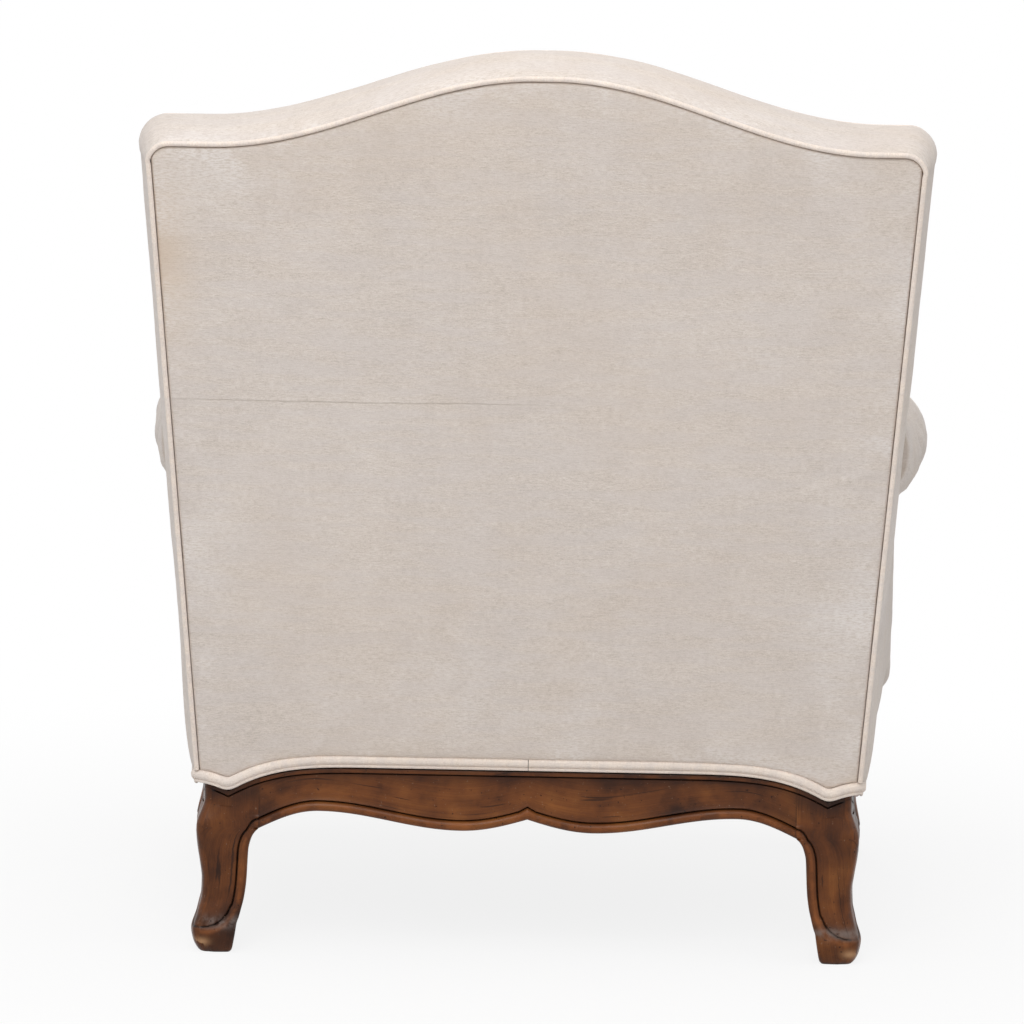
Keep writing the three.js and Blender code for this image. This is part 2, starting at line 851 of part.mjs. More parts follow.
// Inside back: full width above the arms, and between them below
const insideBackBase = backDepth + gap;
const besideArm = (u, z) => {
  const up = upAtHeight(z, insideBackBase);
  return [(armFace(backPlaneAt(z, insideBackBase)) + u) / widening(up, insideBackBase), up];
};
const roundTheArm = Array.from({ length: armCutSteps + 1 }, (_, i) => {
  const turn = Math.PI * (1 - i / armCutSteps / 2);
  const reach = rollRadius + 4 * gap;
  return besideArm(reach * Math.cos(turn) - rollCentre, armRearHeight + reach * Math.sin(turn));
});
const insideBackLower = [
  besideArm(-armInner - gap, deckHeight),
  besideArm(-armInner - gap, mix(armPadFoot, armRearHeight, 1 / 2)),
  ...roundTheArm,
];
const insideBackOutline = [...insideBackLower, ...backOutline(seamInset, wingFoot), ...mirrored(insideBackLower)];
const insideBackRings = [
  [1, insideBackBase],
  [1, insideBackBase + insideBackEdge],
  ...insideBackShares.map(([share, rise]) => [share, insideBackBase + insideBackEdge + insideBackCrown * rise]),
];
add(
  "inside_back_cover",
  pillow(insideBackOutline, [0, wingFoot + insideBackCentreRise], insideBackRings, backPoint),
  velvet,
);

// Arms: u is measured outwards from their own face line
const armEnd = frontFace + upholsteryRecess;

function armPoint(sign, u, y, z) {
  return new THREE.Vector3(sign * (armFace(y) + u), y, z);
}

function armStation(share, z) {
  return mix(backPlaneAt(z, backDepth + gap), armEnd, share);
}

function rollHeight(share) {
  return mix(armRearHeight, armFrontHeight, share) - armSag * Math.sin(Math.PI * share);
}

function rollArc(centreZ, halfWidth, halfHeight, from, to, steps) {
  return Array.from({ length: steps + 1 }, (_, i) => {
    const turn = mix(from, to, i / steps);
    return [halfWidth * Math.cos(turn) - rollCentre, centreZ + halfHeight * Math.sin(turn)];
  });
}

// Inside arm and its roll, hooked over the arm rail
function armPadSection(share) {
  const centreZ = rollHeight(share);
  const wallBack = -rollCentre - armRailHalfWidth - gap;
  const rollSide = -rollCentre - rollRadius;
  return [
    [wallBack, armPadFoot],
    [rollSide, armPadFoot],
    [rollSide - armFaceCrown, mix(armPadFoot, centreZ, 1 / 2)],
    ...rollArc(centreZ, rollRadius, rollRadius, Math.PI, rollEnd, rollSteps),
    ...rollArc(centreZ, armRailHalfWidth + gap, armRailHalfHeight + gap, cavityStart, Math.PI, cavitySteps),
  ];
}

const armShares = Array.from({ length: armSteps + 1 }, (_, i) => i / armSteps);

for (const [hand, sign] of Object.entries(hands)) {
  add(
    `${hand}_arm_pad`,
    loft(armShares.map(armPadSection), (index, u, z) => armPoint(sign, u, armStation(armShares[index], z), z)),
    velvet,
  );

  const railSection = (share) => {
    const centreZ = rollHeight(share);
    const arc = (from, to, steps) => rollArc(centreZ, armRailHalfWidth, armRailHalfHeight, from, to, steps);
    const under = arc(Math.PI, 2 * Math.PI + cavityStart, railUnderSteps);
    return [...arc(cavityStart, Math.PI, cavitySteps), ...under.slice(1, -1)];
  };
  add(
    `${hand}_arm_rail`,
    loft(armShares.map(railSection), (index, u, z) => armPoint(sign, u, armStation(armShares[index], z), z)),
    hardwood,
  );

  // Arm post between the seat rail and the arm rail: its outer side leans out from the rail
  const postInner = -rollCentre - armRailHalfWidth;
  const postOuter = -upholsteryRecess;
  const postOutline = [
    [postInner, armEnd],
    [postOuter, armEnd],
    [postOuter, armEnd + armPostDepth],
    [postInner, armEnd + armPostDepth],
  ];
  const postTop = armFrontHeight - armRailHalfHeight - gap;
  add(
    `${hand}_arm_post`,
    loft([postOutline, postOutline], (index, u, y) => {
      const onRail = index === 0 && u === postOuter ? armOverhang(y) : 0;
      return armPoint(sign, u - onRail, y, index === 0 ? frameTop + gap : postTop);
    }),
    hardwood,
  );

  // Tacking rail between the back post and the arm post
  const tackRailTop = armTackRailFoot + armTackRailHeight;
  const tackSection = [
    [postInner, armTackRailFoot],
    [postInner + armTackRailWidth, armTackRailFoot],
    [postInner + armTackRailWidth, tackRailTop],
    [postInner, tackRailTop],
  ];
  add(
    `${hand}_arm_tack_rail`,
    loft([tackSection, tackSection], (index, u, z) => {
      const y = index === 0 ? backPlaneAt(z, backDepth + gap) : armEnd + armPostDepth + gap;
      return armPoint(sign, u, y, z);
    }),
    hardwood,
  );

  // Outside arm, from the underside of the roll down, rounded in under its foot to the double welt
  const rollEdgeDrop = -rollRadius * Math.sin(rollEnd) + gap + weltRadius / 2;
  const panelRear = backPlaneAt(coverFoot(backDepth), backDepth + gap);
  const rearStations = weltStations.filter((along) => along > rearFace - panelRear);
  const frontStations = weltStations.slice(1).reverse();
  const panelYs = [
    panelRear,
    ...rearStations.map((along) => rearFace - along),
    ...frontStations.map((along) => frontFace + along),
    armEnd,
  ];
  const panelLevels = panelYs.map((y) => {
    const share = (panelRear - y) / (panelRear - armEnd);
    const top = rollHeight(share) - rollEdgeDrop;
    const foot = coverFoot(Math.min(rearFace - y, y - frontFace));
    const stationY = (z) => mix(y, armStation(share, top), (z - foot) / (top - foot));
    return { top, foot, stationY };
  });
  const panelSections = panelLevels.map(({ top, foot, stationY }) => {
    const over = (z) => armOverhang(stationY(z));
    const [turnShare, riseShare] = armFootRoundShares;
    const rounding = (armFootRound * over(foot)) / armSpread;
    return [
      [armOuter, top],
      [gap - upholsteryRecess, top],
      [gap - upholsteryRecess - over(frameTop), frameTop],
      [gap - upholsteryRecess - over(foot), foot],
      [armOuter - over(foot), foot],
      [armOuter - turnShare * over(foot), foot + riseShare * rounding],
      [armOuter, foot + rounding],
    ];
  });
  add(
    `${hand}_outside_arm`,
    loft(panelSections, (index, u, z) => armPoint(sign, u, panelLevels[index].stationY(z), z)),
    velvet,
  );
}

// Facings that close the front ends of the arms, each with its welt
const facingBack = armEnd - gap;
const facingOverhang = armOverhang(armEnd);
const facingFoot = (u) => coverFoot(Math.max(-u - facingOverhang, 0));

function facingOutline(inset, footLift) {
  const radius = rollRadius - inset;
  const inner = -armInner + inset;
  const outer = armOuter - inset;
  const underside = Math.asin((outer + rollCentre) / radius) - Math.PI / 2;
  const [turnShare, riseShare] = armFootRoundShares;
  const onWood = outer - facingOverhang;
  const stations = weltStations.slice(1).map((along) => -along - facingOverhang);
  const foot = [onWood, ...stations.filter((u) => u > inner && u < onWood), inner];
  const cornerFoot = facingFoot(onWood) + inset;
  return [
    ...rollArc(armFrontHeight, radius, radius, Math.PI, underside, rollSteps),
    [outer, cornerFoot + armFootRound],
    [outer - turnShare * facingOverhang, cornerFoot + riseShare * armFootRound],
    [onWood, cornerFoot],
    ...foot.map((u) => [u, facingFoot(u) + footLift]),
  ];
}

const facingInset = 2 * weltRadius + 4 * gap;
for (const [hand, sign] of Object.entries(hands)) {
  const face = (u, z, forward) => armPoint(sign, u, facingBack - forward, z);
  const rings = [
    [1, 0],
    ...facingShares.map(([share, rise]) => [share, facingThickness - facingCrown + facingCrown * rise]),
  ];
  add(
    `${hand}_arm_facing`,
    pillow(facingOutline(facingInset, gap), [-rollCentre, armFrontHeight], rings, face),
    velvet,
  );
  const weltLineOnFacing = facingOutline(weltRadius + gap, weltRadius + gap);
  const weltPath = [weltLineOnFacing.at(-1), ...weltLineOnFacing.slice(0, rollSteps + 4)];
  add(
    `${hand}_arm_facing_welt`,
    sweep(
      weltPath.map(([u, z]) => face(u, z, weltRadius + gap)),
      roundSection(weltRadius, weltSides),
      forwards,
    ),
    weltVelvet,
  );
}

// Double welt round the foot of the upholstery
const doubleWeltInset = upholsteryRecess - doubleWeltThick - 2 * gap;

function doubleWeltSection() {
  const thickCentre = doubleWeltHeight / 2 - doubleWeltThick;
  const thinCentre = doubleWeltThin - doubleWeltHeight / 2;
  const lobe = (radius, centre, from, to, steps) => {
    return Array.from({ length: steps + 1 }, (_, i) => {
      const turn = mix(from, to, i / steps);
      return [radius * Math.cos(turn), centre + radius * Math.sin(turn)];
    });
  };
  const back = -doubleWeltThick;
  return [
    ...lobe(doubleWeltThick, thickCentre, Math.PI / 2, -Math.PI / 4, 3),
    ...lobe(doubleWeltThin, thinCentre, Math.PI / 4, -Math.PI / 2, 2),
    [back, -doubleWeltHeight / 2],
    [back, thickCentre + doubleWeltThick * Math.sin(Math.PI / 4)],
  ];
}

// One side of the double welt from corner to corner, where along runs from 0 to the side's length
function doubleWeltSide(length, middleSteps, place) {
  const toCentre = doubleWeltLift + doubleWeltHeight / 2;
  const middle = Array.from({ length: middleSteps - 1 }, (_, i) => {
    return mix(weltRunOffset, length - weltRunOffset, (i + 1) / middleSteps);
  });
  const alongs = [...weltStations, ...middle, ...weltStations.map((along) => length - along).reverse()];
  return alongs.map((along) => {
    const z = weltLine(Math.min(along, length - along)) + toCentre;
    return place(along, z);
  });
}

const rearRun = doubleWeltSide(rearWidth, 1, (along, z) => {
  return new THREE.Vector3(rearWidth / 2 - along, rearFace - doubleWeltInset, z);
});
const frontRun = doubleWeltSide(frontWidth, doubleWeltBowSteps, (along, z) => {
  const x = along - frontWidth / 2;
  return new THREE.Vector3(x, frontFace - bowAt(x) + doubleWeltInset, z);
});
const sideRun = (sign) => {
  return doubleWeltSide(seatDepth, 1, (along, z) => {
    const y = rearFace - along;
    return new THREE.Vector3(sign * (sideFace(y) - doubleWeltInset), y, z);
  });
};
add(
  "bottom_double_welt",
  sweep(
    [...rearRun, ...sideRun(-1), ...frontRun, ...sideRun(1).reverse()],
    doubleWeltSection(),
    upwards,
    true,
  ),
  weltVelvet,
);

// Seat webbing, tacked to the ledges under the rails
const webbingEdge = railThickness - webbingBearing;

function underSeatOutline() {
  const clear = legBlock + 2 * gap;
  const back = chamferSum - legBlock + 2 * gap;
  const quarter = [
    [clear, webbingEdge],
    [clear, back],
    [back, clear],
    [webbingEdge, clear],
  ];
  const flatten = (corner, points) => {
    return points.map(([a, b]) => {
      const point = cornerPoint(corner, a, b, 0);
      return [point.x, point.y];
    });
  };
  const [frontLeft, frontRight, rearLeft, rearRight] = corners;
  const bow = Array.from({ length: frontBorderSteps - 1 }, (_, i) => {
    const x = frontHalf * (1 - (2 * (i + 1)) / frontBorderSteps);
    return [x, frontFace - bowAt(x) + webbingEdge];
  });
  return [
    ...flatten(rearRight, quarter),
    ...flatten(frontRight, [...quarter].reverse()),
    ...bow.map(([x, y]) => [-x, y]),
    ...flatten(frontLeft, quarter),
    ...flatten(rearLeft, [...quarter].reverse()),
  ];
}

const seatMiddle = 0;
add(
  "seat_webbing",
  piercedPlate(
    underSeatOutline(),
    webbingHoles(webbingRows, webbingRows, 0, seatMiddle),
    webbingTop - webbingThickness,
    webbingTop,
    upright,
  ),
  jute,
);
const dustCoverTop = webbingTop - webbingThickness - gap;
add(
  "dust_cover",
  plate(underSeatOutline(), dustCoverTop - dustCoverThickness, dustCoverTop, upright),
  cambric,
);

// Waisted coil springs between the webbing and the burlap
const springFoot = webbingTop + gap + springWire;
const springTop = burlapHeight - gap - springWire;

function coilSpring(centreX, centreY) {
  const steps = springTurns * springTurnSteps;
  const path = Array.from({ length: steps + 1 }, (_, i) => {
    const share = i / steps;
    const turn = 2 * Math.PI * springTurns * share;
    const waist = springRadius * (1 - springWaistShare) * Math.sin(Math.PI * share);
    const radius = springRadius - waist;
    const x = centreX + radius * Math.cos(turn);
    const y = centreY + radius * Math.sin(turn);
    return new THREE.Vector3(x, y, mix(springFoot, springTop, share));
  });
  const section = roundSection(springWire, springSides);
  return sweep(path, section, upwards);
}

const springPlaces = [-1, 0, 1];
springPlaces.forEach((row, j) => {
  springPlaces.forEach((column, i) => {
    const number = j * springPlaces.length + i + 1;
    const spring = coilSpring(column * springPitch, seatMiddle - frontBow / 2 + row * springPitch);
    add(`seat_spring_${number}`, spring, springSteel);
  });
});

// Burlap over the springs, with its edges drawn down onto the rails
const deckSide = (y) => sideFace(y) - deckBearing;
const deckRear = rearFace - deckBearing;
const backPostFront = backPlaneAt(frameTop, backDepth + gap);
const armPostRear = armEnd + armPostDepth + gap;
const postClear = rollCentre + armRailHalfWidth + gap;
const backPostClear = frameInset + backPostWidth + gap;

function burlapOutline() {
  const rearInner = backHalf(0) - backPostClear;
  const half = [
    [rearInner, deckRear],
    [rearInner, backPostFront],
    [deckSide(backPostFront), backPostFront],
    [deckSide(armPostRear), armPostRear],
    [armFace(armPostRear) - postClear, armPostRear],
    [armFace(frontFace + deckBearing) - postClear, frontFace + deckBearing],
  ];
  const bowHalf = Array.from({ length: frontBorderSteps / 2 }, (_, i) => {
    const x = frontHalf * (1 - (2 * (i + 1)) / frontBorderSteps);
    return [x, frontFace - bowAt(x) + deckBearing];
  });
  const left = [...half, ...bowHalf];
  return [...left, ...mirrored(left.slice(0, -1))];
}

const burlapSeat = frameTop + gap;
const burlapFlatShare = 0.78;
const burlapEdgeShare = 0.8;
add(
  "seat_burlap",
  pillow(
    burlapOutline(),
    [0, seatMiddle],
    [
      [burlapFlatShare, burlapHeight],
      [1, burlapSeat],
      [1, burlapSeat + burlapThickness],
      [burlapEdgeShare, burlapHeight + burlapThickness],
    ],
    upright,
  ),
  burlap,
);

// Front border, turned over the front edge of the deck
const insideArm = (y) => armFace(y) - armInner - gap;
const borderHalf = insideArm(frontFace);
const borderStepShares = Array.from({ length: frontBorderSteps + 1 }, (_, i) => (2 * i) / frontBorderSteps - 1);
const lipUnder = deckHeight - borderLipThickness;
const borderRound = armOuter + upholsteryRecess;
add(
  "seat_front_border",
  loft(
    borderStepShares.map((share) => {
      const foot = coverFoot(frontWidth / 2 - Math.abs(share * borderHalf));
      return [
        [-armOuter, foot],
        [-armOuter - frontBorderBulge, mix(foot, deckHeight, 1 / 2)],
        [-armOuter, deckHeight - borderRound],
        [0, deckHeight - gap],
        [borderRound, deckHeight],
        [borderLip, deckHeight],
        [borderLip, lipUnder],
        [borderRound, lipUnder],
        [upholsteryRecess - 2 * gap, frameTop],
        [upholsteryRecess - 2 * gap, foot],
      ];
    }),
    (index, depth, z) => {
      const share = borderStepShares[index];
      const y = frontFace - bowAt(share * borderHalf) + depth;
      return new THREE.Vector3(share * insideArm(y), y, z);
    },
  ),
  velvet,
);

// Deck pad and the cloth over it, behind the front border
function deckOutline() {
  const rear = backPlaneAt(deckHeight, backDepth + gap);
  const frontRow = Array.from({ length: frontBorderSteps / 2 + 1 }, (_, i) => {
    const share = 1 - (2 * i) / frontBorderSteps;
    const y = frontFace - bowAt(share * borderHalf) + borderLip + gap;
    return [share * insideArm(y), y];
  });
  const left = [[insideArm(rear), rear], ...frontRow];
  return [...left, ...mirrored(left.slice(0, -1))];
}

add("seat_deck_pad", plate(deckOutline(), deckPadFoot, deckPadTop, upright), cotton);
add("seat_deck_cloth", plate(deckOutline(), deckPadTop + gap, deckHeight, upright), platformCloth);

// Loose seat cushion
function roundedLoop(points, steps) {
  return points.flatMap(([x, y, radius], i) => {
    if (!radius) return [[x, y]];
    const [beforeX, beforeY] = points.at(i - 1);
    const [afterX, afterY] = points[(i + 1) % points.length];
    const back = new THREE.Vector2(beforeX - x, beforeY - y).setLength(radius);
    const ahead = new THREE.Vector2(afterX - x, afterY - y).setLength(radius);
    return Array.from({ length: steps + 1 }, (_, k) => {
      const share = k / steps;
      const towards = back.clone().multiplyScalar((1 - share) ** 2).addScaledVector(ahead, share ** 2);
      return [x + towards.x, y + towards.y];
    });
  });
}

const cushionWeltReach = cushionWeltOut + cushionWeltRadius;

function cushionOutline(inset) {
  const rear = backPlaneAt(deckHeight, backDepth + gap) - cushionRearClear - cushionWeltReach - inset;
  const side = (y) => armFace(y) - armInner - cushionClearance - cushionWeltReach - inset;
  const frontY = (x) => frontFace - bowAt(x) - cushionOverhang + cushionWeltReach + inset;
  const cornerX = side(frontFace);
  const bow = Array.from({ length: cushionBowSteps - 1 }, (_, i) => {
    const x = -cornerX * (1 - (2 * (i + 1)) / cushionBowSteps);
    return [x, frontY(x), 0];
  });
  const loop = [
    [side(rear), rear, cushionRearRadius],
    [-side(rear), rear, cushionRearRadius],
    [-cornerX, frontY(cornerX), cushionFrontRadius],
    ...bow,
    [cornerX, frontY(cornerX), cushionFrontRadius],
  ];
  return roundedLoop(loop, cornerSteps);
}

const cushionFoot = deckHeight + gap;
const cushionLowEdge = cushionFoot + cushionEdgeLift;
const cushionHighEdge = cushionLowEdge + cushionBoxing;
const cushionMiddle = (cushionLowEdge + cushionHighEdge) / 2;
const bulgeShare = 1 + cushionBulge / (rearWidth / 2 - armInner);

// The filled shape of the cushion, drawn in from its cover's outside
function cushionBody(inset) {
  const rings = [
    [cushionUnderShares[0], cushionFoot + inset],
    [cushionUnderShares[1], mix(cushionFoot, cushionLowEdge, cushionUnderShares[2]) + inset],
    [1, cushionLowEdge + inset / 2],
    [bulgeShare, cushionMiddle],
    [1, cushionHighEdge - inset / 2],
    ...cushionShares.map(([share, rise]) => [share, cushionHighEdge + cushionCrown * rise - inset]),
  ];
  return pillow(cushionOutline(inset), [0, 0], rings, upright);
}

// Cover with a zip opening in its rear boxing
const zipY = cushionOutline(0)[cornerSteps][1] * bulgeShare - coverThickness / 2;
const zipBox = (slack, depth) => {
  const size = [zipLength - 2 * slack, depth, zipWidth - 2 * slack];
  return new THREE.BoxGeometry(...size).translate(0, zipY, cushionMiddle);
};
const cushionCover = toManifold(cushionBody(0))
  .subtract(toManifold(cushionBody(coverThickness)))
  .subtract(toManifold(zipBox(0, 4 * coverThickness)));
add("seat_cushion_cover", toGeometry(cushionCover), velvet);
add("seat_cushion_core", cushionBody(coverThickness + gap), cotton);
add("seat_cushion_zip", zipBox(gap, coverThickness - gap), zipTape);

for (const [edge, level] of [
  ["top", cushionHighEdge + cushionWeltUp],
  ["bottom", cushionLowEdge - cushionWeltUp],
]) {
  const path = cushionOutline(-cushionWeltOut).map(([x, y]) => new THREE.Vector3(x, y, level));
  add(
    `seat_cushion_${edge}_welt`,
    sweep(path, roundSection(cushionWeltRadius, weltSides), upwards, true),
    weltVelvet,
  );
}

// The chair stands over the middle of its own outline
const bounds = new THREE.Box3().setFromObject(chair);
chair.position.y = -(bounds.min.y + bounds.max.y) / 2;

export default chair;
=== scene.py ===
import math

import bpy
import numpy as np
from mathutils import Matrix, Vector
from mathutils.kdtree import KDTree


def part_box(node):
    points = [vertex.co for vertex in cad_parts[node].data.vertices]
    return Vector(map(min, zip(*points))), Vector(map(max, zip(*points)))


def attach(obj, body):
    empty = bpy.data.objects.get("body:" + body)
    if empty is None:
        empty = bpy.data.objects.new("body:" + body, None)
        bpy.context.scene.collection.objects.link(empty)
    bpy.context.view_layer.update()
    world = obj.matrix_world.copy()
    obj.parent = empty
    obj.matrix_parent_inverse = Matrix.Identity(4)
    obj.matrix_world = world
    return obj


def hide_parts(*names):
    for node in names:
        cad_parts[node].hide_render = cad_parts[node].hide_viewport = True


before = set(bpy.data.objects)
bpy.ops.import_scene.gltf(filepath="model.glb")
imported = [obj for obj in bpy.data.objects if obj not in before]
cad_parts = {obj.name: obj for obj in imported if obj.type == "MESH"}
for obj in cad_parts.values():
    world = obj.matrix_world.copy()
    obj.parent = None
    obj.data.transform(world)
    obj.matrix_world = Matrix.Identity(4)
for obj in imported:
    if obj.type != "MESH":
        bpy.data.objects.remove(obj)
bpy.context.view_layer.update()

# 1. Studio: a white sweep with soft light from above and from all sides, and a long lens that looks at the back of
# the chair from a little above the seat. The chair's own drawing has its seat frame centred on y = 0, so every
# length below is in millimetres in that drawing, and drawing_shift carries it to the part's place.
MILLIMETRE = 0.001
DRAWING_BEAD_FACE = 0.3115
drawing_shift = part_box("rear_seat_rail")[1].y - DRAWING_BEAD_FACE
scene = bpy.context.scene
scene.view_settings.view_transform = "Standard"

LENS_PIXELS = 3752.52
PHOTO_PIXELS = 1024
SENSOR_WIDTH = 36.0
CAMERA_PLACE = Vector((-0.05310336, 4.22907 + drawing_shift, 0.96417282))
CAMERA_YAW = math.radians(1.08834)
CAMERA_PITCH = math.radians(7.03414)
CAMERA_ROLL = math.radians(0.91113)


def stand(name, data):
    """Puts a mesh, a lamp or the camera into the scene, at the origin."""
    made = bpy.data.objects.new(name, data)
    scene.collection.objects.link(made)
    return made


camera_data = bpy.data.cameras.new("studio_camera")
camera_data.sensor_width = SENSOR_WIDTH
camera_data.lens = LENS_PIXELS * SENSOR_WIDTH / PHOTO_PIXELS
camera_data.clip_end = 60
camera = stand("studio_camera", camera_data)
level = math.cos(CAMERA_PITCH)
sight = Vector((math.sin(CAMERA_YAW) * level, -math.cos(CAMERA_YAW) * level, -math.sin(CAMERA_PITCH)))
across = Vector((-math.cos(CAMERA_YAW), -math.sin(CAMERA_YAW), 0))
upward = across.cross(sight)
tilted_across = math.cos(CAMERA_ROLL) * across + math.sin(CAMERA_ROLL) * upward
tilted_up = math.cos(CAMERA_ROLL) * upward - math.sin(CAMERA_ROLL) * across
turn = Matrix((tilted_across, tilted_up, -sight)).transposed()
camera.matrix_world = Matrix.Translation(CAMERA_PLACE) @ turn.to_4x4()
scene.camera = camera


def soft_lamp(name, place, target, size, watts):
    """A square softbox that looks at a point."""
    data = bpy.data.lights.new(name, "AREA")
    data.shape, data.size, data.energy = "SQUARE", size, watts
    lamp = stand(name, data)
    lamp.location = place
    lamp.rotation_euler = (Vector(target) - Vector(place)).to_track_quat("-Z", "Y").to_euler()


soft_lamp("lamp_above", (0.2, 1.15, 3.3), (0, 0, 0.5), 3.0, 44)
soft_lamp("lamp_behind_camera", (0.5, 3.3, 3.1), (0, 0.2, 0.8), 2.2, 67)
soft_lamp("lamp_sitter_left", (3.4, 0.6, 1.7), (0.3, 0, 0.5), 2.4, 11)
soft_lamp("lamp_sitter_right", (-3.4, 0.6, 1.7), (-0.3, 0, 0.5), 2.4, 18)
soft_lamp("lamp_in_front", (0, -4.2, 2.2), (0, 0, 0.5), 2.8, 46)


def add_node(tree, kind, inputs=None, **settings):
    """One node with its settings. An input takes a value, an output, or a node, which gives its first output."""
    made = tree.nodes.new(kind)
    for key, value in settings.items():
        setattr(made, key, value)
    for key, value in (inputs or {}).items():
        if isinstance(value, bpy.types.Node):
            value = value.outputs[0]
        if isinstance(value, bpy.types.NodeSocket):
            tree.links.new(value, made.inputs[key])
        else:
            made.inputs[key].default_value = value
    return made


def seen_directly(tree):
    """One for what the lens, a gloss or a clear thing sees, and nought for the light that falls on the chair."""
    rays = add_node(tree, "ShaderNodeLightPath").outputs
    sharp = {0: rays["Is Camera Ray"], 1: rays["Is Glossy Ray"]}
    clear = {0: add_node(tree, "ShaderNodeMath", sharp, operation="MAXIMUM"), 1: rays["Is Transmission Ray"]}
    return add_node(tree, "ShaderNodeMath", clear, operation="MAXIMUM")


WHITE, WORLD_LIGHT = (1, 1, 1, 1), 0.38
world = bpy.data.worlds.new("studio_white")
world.use_nodes = True
sky = world.node_tree
sky.nodes.clear()
daylight = add_node(sky, "ShaderNodeBackground", {"Color": WHITE, "Strength": WORLD_LIGHT})
backdrop = add_node(sky, "ShaderNodeBackground", {"Color": WHITE, "Strength": 1.0})
either = add_node(sky, "ShaderNodeMixShader", {0: seen_directly(sky), 1: daylight, 2: backdrop})
add_node(sky, "ShaderNodeOutputWorld", {"Surface": either})
scene.world = world

# The floor is white paper: it takes the chair's shadow close by, and runs out into the white of the sweep
FLOOR_RADIUS, PAPER_WHITE = 3.0, (0.8, 0.8, 0.8, 1)
SHADOW_NEAR, SHADOW_FAR, SHADOW_SHARE = 0.45, 1.5, 0.15
floor_corners = [(x * FLOOR_RADIUS, y * FLOOR_RADIUS, 0) for x, y in ((-1, -1), (1, -1), (1, 1), (-1, 1))]
floor_mesh = bpy.data.meshes.new("floor")
floor_mesh.from_pydata(floor_corners, [], [(0, 1, 2, 3)])
floor = stand("floor", floor_mesh)
paper_material = bpy.data.materials.new("studio_paper")
paper_material.use_nodes = True
paper = paper_material.node_tree
paper.nodes.clear()
place = add_node(paper, "ShaderNodeTexCoord").outputs["Object"]
distance = add_node(paper, "ShaderNodeVectorMath", {0: place}, operation="LENGTH").outputs["Value"]
spread = {"Value": distance, "From Min": SHADOW_NEAR, "From Max": SHADOW_FAR, "To Min": 1 - SHADOW_SHARE, "To Max": 1}
fade = add_node(paper, "ShaderNodeMapRange", spread, interpolation_type="SMOOTHSTEP")
white = add_node(paper, "ShaderNodeMath", {0: fade, 1: seen_directly(paper)}, operation="MULTIPLY")
matt = add_node(paper, "ShaderNodeBsdfDiffuse", {"Color": PAPER_WHITE})
glow = add_node(paper, "ShaderNodeEmission", {"Color": WHITE, "Strength": 1.0})
layered = add_node(paper, "ShaderNodeMixShader", {0: white, 1: matt, 2: glow})
add_node(paper, "ShaderNodeOutputMaterial", {"Surface": layered})
floor.data.materials.append(paper_material)

# 2. Seat rails: four rails of carved walnut, mortised into the legs. Each is sawn to its serpentine lower edge, then
# a bead, a groove and a shallow cove are cut along it with a scratch stock, and a thin fillet is left under the
# upholstery. The finish is a rubbed brown stain that stays dark in the grooves, under satin lacquer. Painted shade
# darkens the wood under the double welt and the top of the cove; painted highlights lighten the bead crests and the
# middle of the cove, over the wear on the proud edges.
SEAT_DEPTH, REAR_WIDTH, FRONT_WIDTH, FRONT_BOW = 620.0, 705.0, 797.0, 35.0
LEG_BLOCK, JOINT_GAP = 66.5, 0.3
FLARE = math.atan2((FRONT_WIDTH - REAR_WIDTH) / 2, SEAT_DEPTH)
REAR_FACE, FRONT_FACE = SEAT_DEPTH / 2, -SEAT_DEPTH / 2
FRAME_TOP, LEDGE, RAIL_THICK, APRON_THICK, RECESS = 272.0, 180.0, 40.0, 24.0, 5.0
CUSP, LOBE, ARCH, APRON_END = 150.5, 137.0, 155.5, 135.5
LOBE_SHARE, ARCH_SHARE = 0.245, 0.777
ARM_INNER, ARM_SPREAD = 95.0, 30.0
WELT_CORNER, WELT_DIP, WELT_MIDDLE = 184.0, 175.0, 203.3
DIP_AT, LEVEL_AT = 34.0, 192.5
HANDS = (("left", 1), ("right", -1))


def mix(start, end, share):
    return start + (end - start) * share


def unit(value):
    return np.clip(value, 0, 1)


def near(distance, reach):
    """One at no distance, and dying away over a reach."""
    return np.exp(-distance / reach)


def ridge(offset, width):
    """A rounded ridge of unit height, which falls away on both sides of its line."""
    return np.exp(-((offset / width) ** 2))


def side_face(y):
    return mix(REAR_WIDTH, FRONT_WIDTH, (REAR_FACE - y) / SEAT_DEPTH) / 2


def arm_overhang(y):
    """How far the arms stand out over the side rails."""
    return ARM_SPREAD * (REAR_FACE - y) / SEAT_DEPTH


def arm_face(y):
    return side_face(y) + arm_overhang(y)


def bow_at(x):
    half_span = FRONT_WIDTH / 2 + ARM_SPREAD - ARM_INNER
    return np.where(np.abs(x) < half_span, FRONT_BOW * np.cos(math.pi * x / half_span / 2) ** 2, 0)


def welt_line(corner_distance):
    """Height where the upholstery ends on the wood, by distance from a corner of the seat frame."""
    d = np.asarray(corner_distance, float)
    over_leg = mix(WELT_DIP, WELT_CORNER, np.sin(math.pi / 2 * unit((DIP_AT - d) / DIP_AT)))
    over_rail = mix(WELT_MIDDLE, WELT_DIP, unit((LEVEL_AT - d) / (LEVEL_AT - DIP_AT)) ** 3.5)
    return np.where(d < DIP_AT, over_leg, over_rail)


def apron_edge(share):
    """Serpentine lower edge: a cusp in the middle, a lobe, an arch, and down to the leg."""
    s = np.asarray(share, float)
    lobe = mix(CUSP, LOBE, np.sin(math.pi / 2 * unit(s / LOBE_SHARE)))
    turn = math.pi * unit((s - LOBE_SHARE) / (ARCH_SHARE - LOBE_SHARE))
    arch = mix(LOBE, ARCH, (1 - np.cos(turn)) / 2)
    end = mix(ARCH, APRON_END, 1 - np.cos(math.pi / 2 * unit((s - ARCH_SHARE) / (1 - ARCH_SHARE))))
    return np.where(s < LOBE_SHARE, lobe, np.where(s < ARCH_SHARE, arch, end))


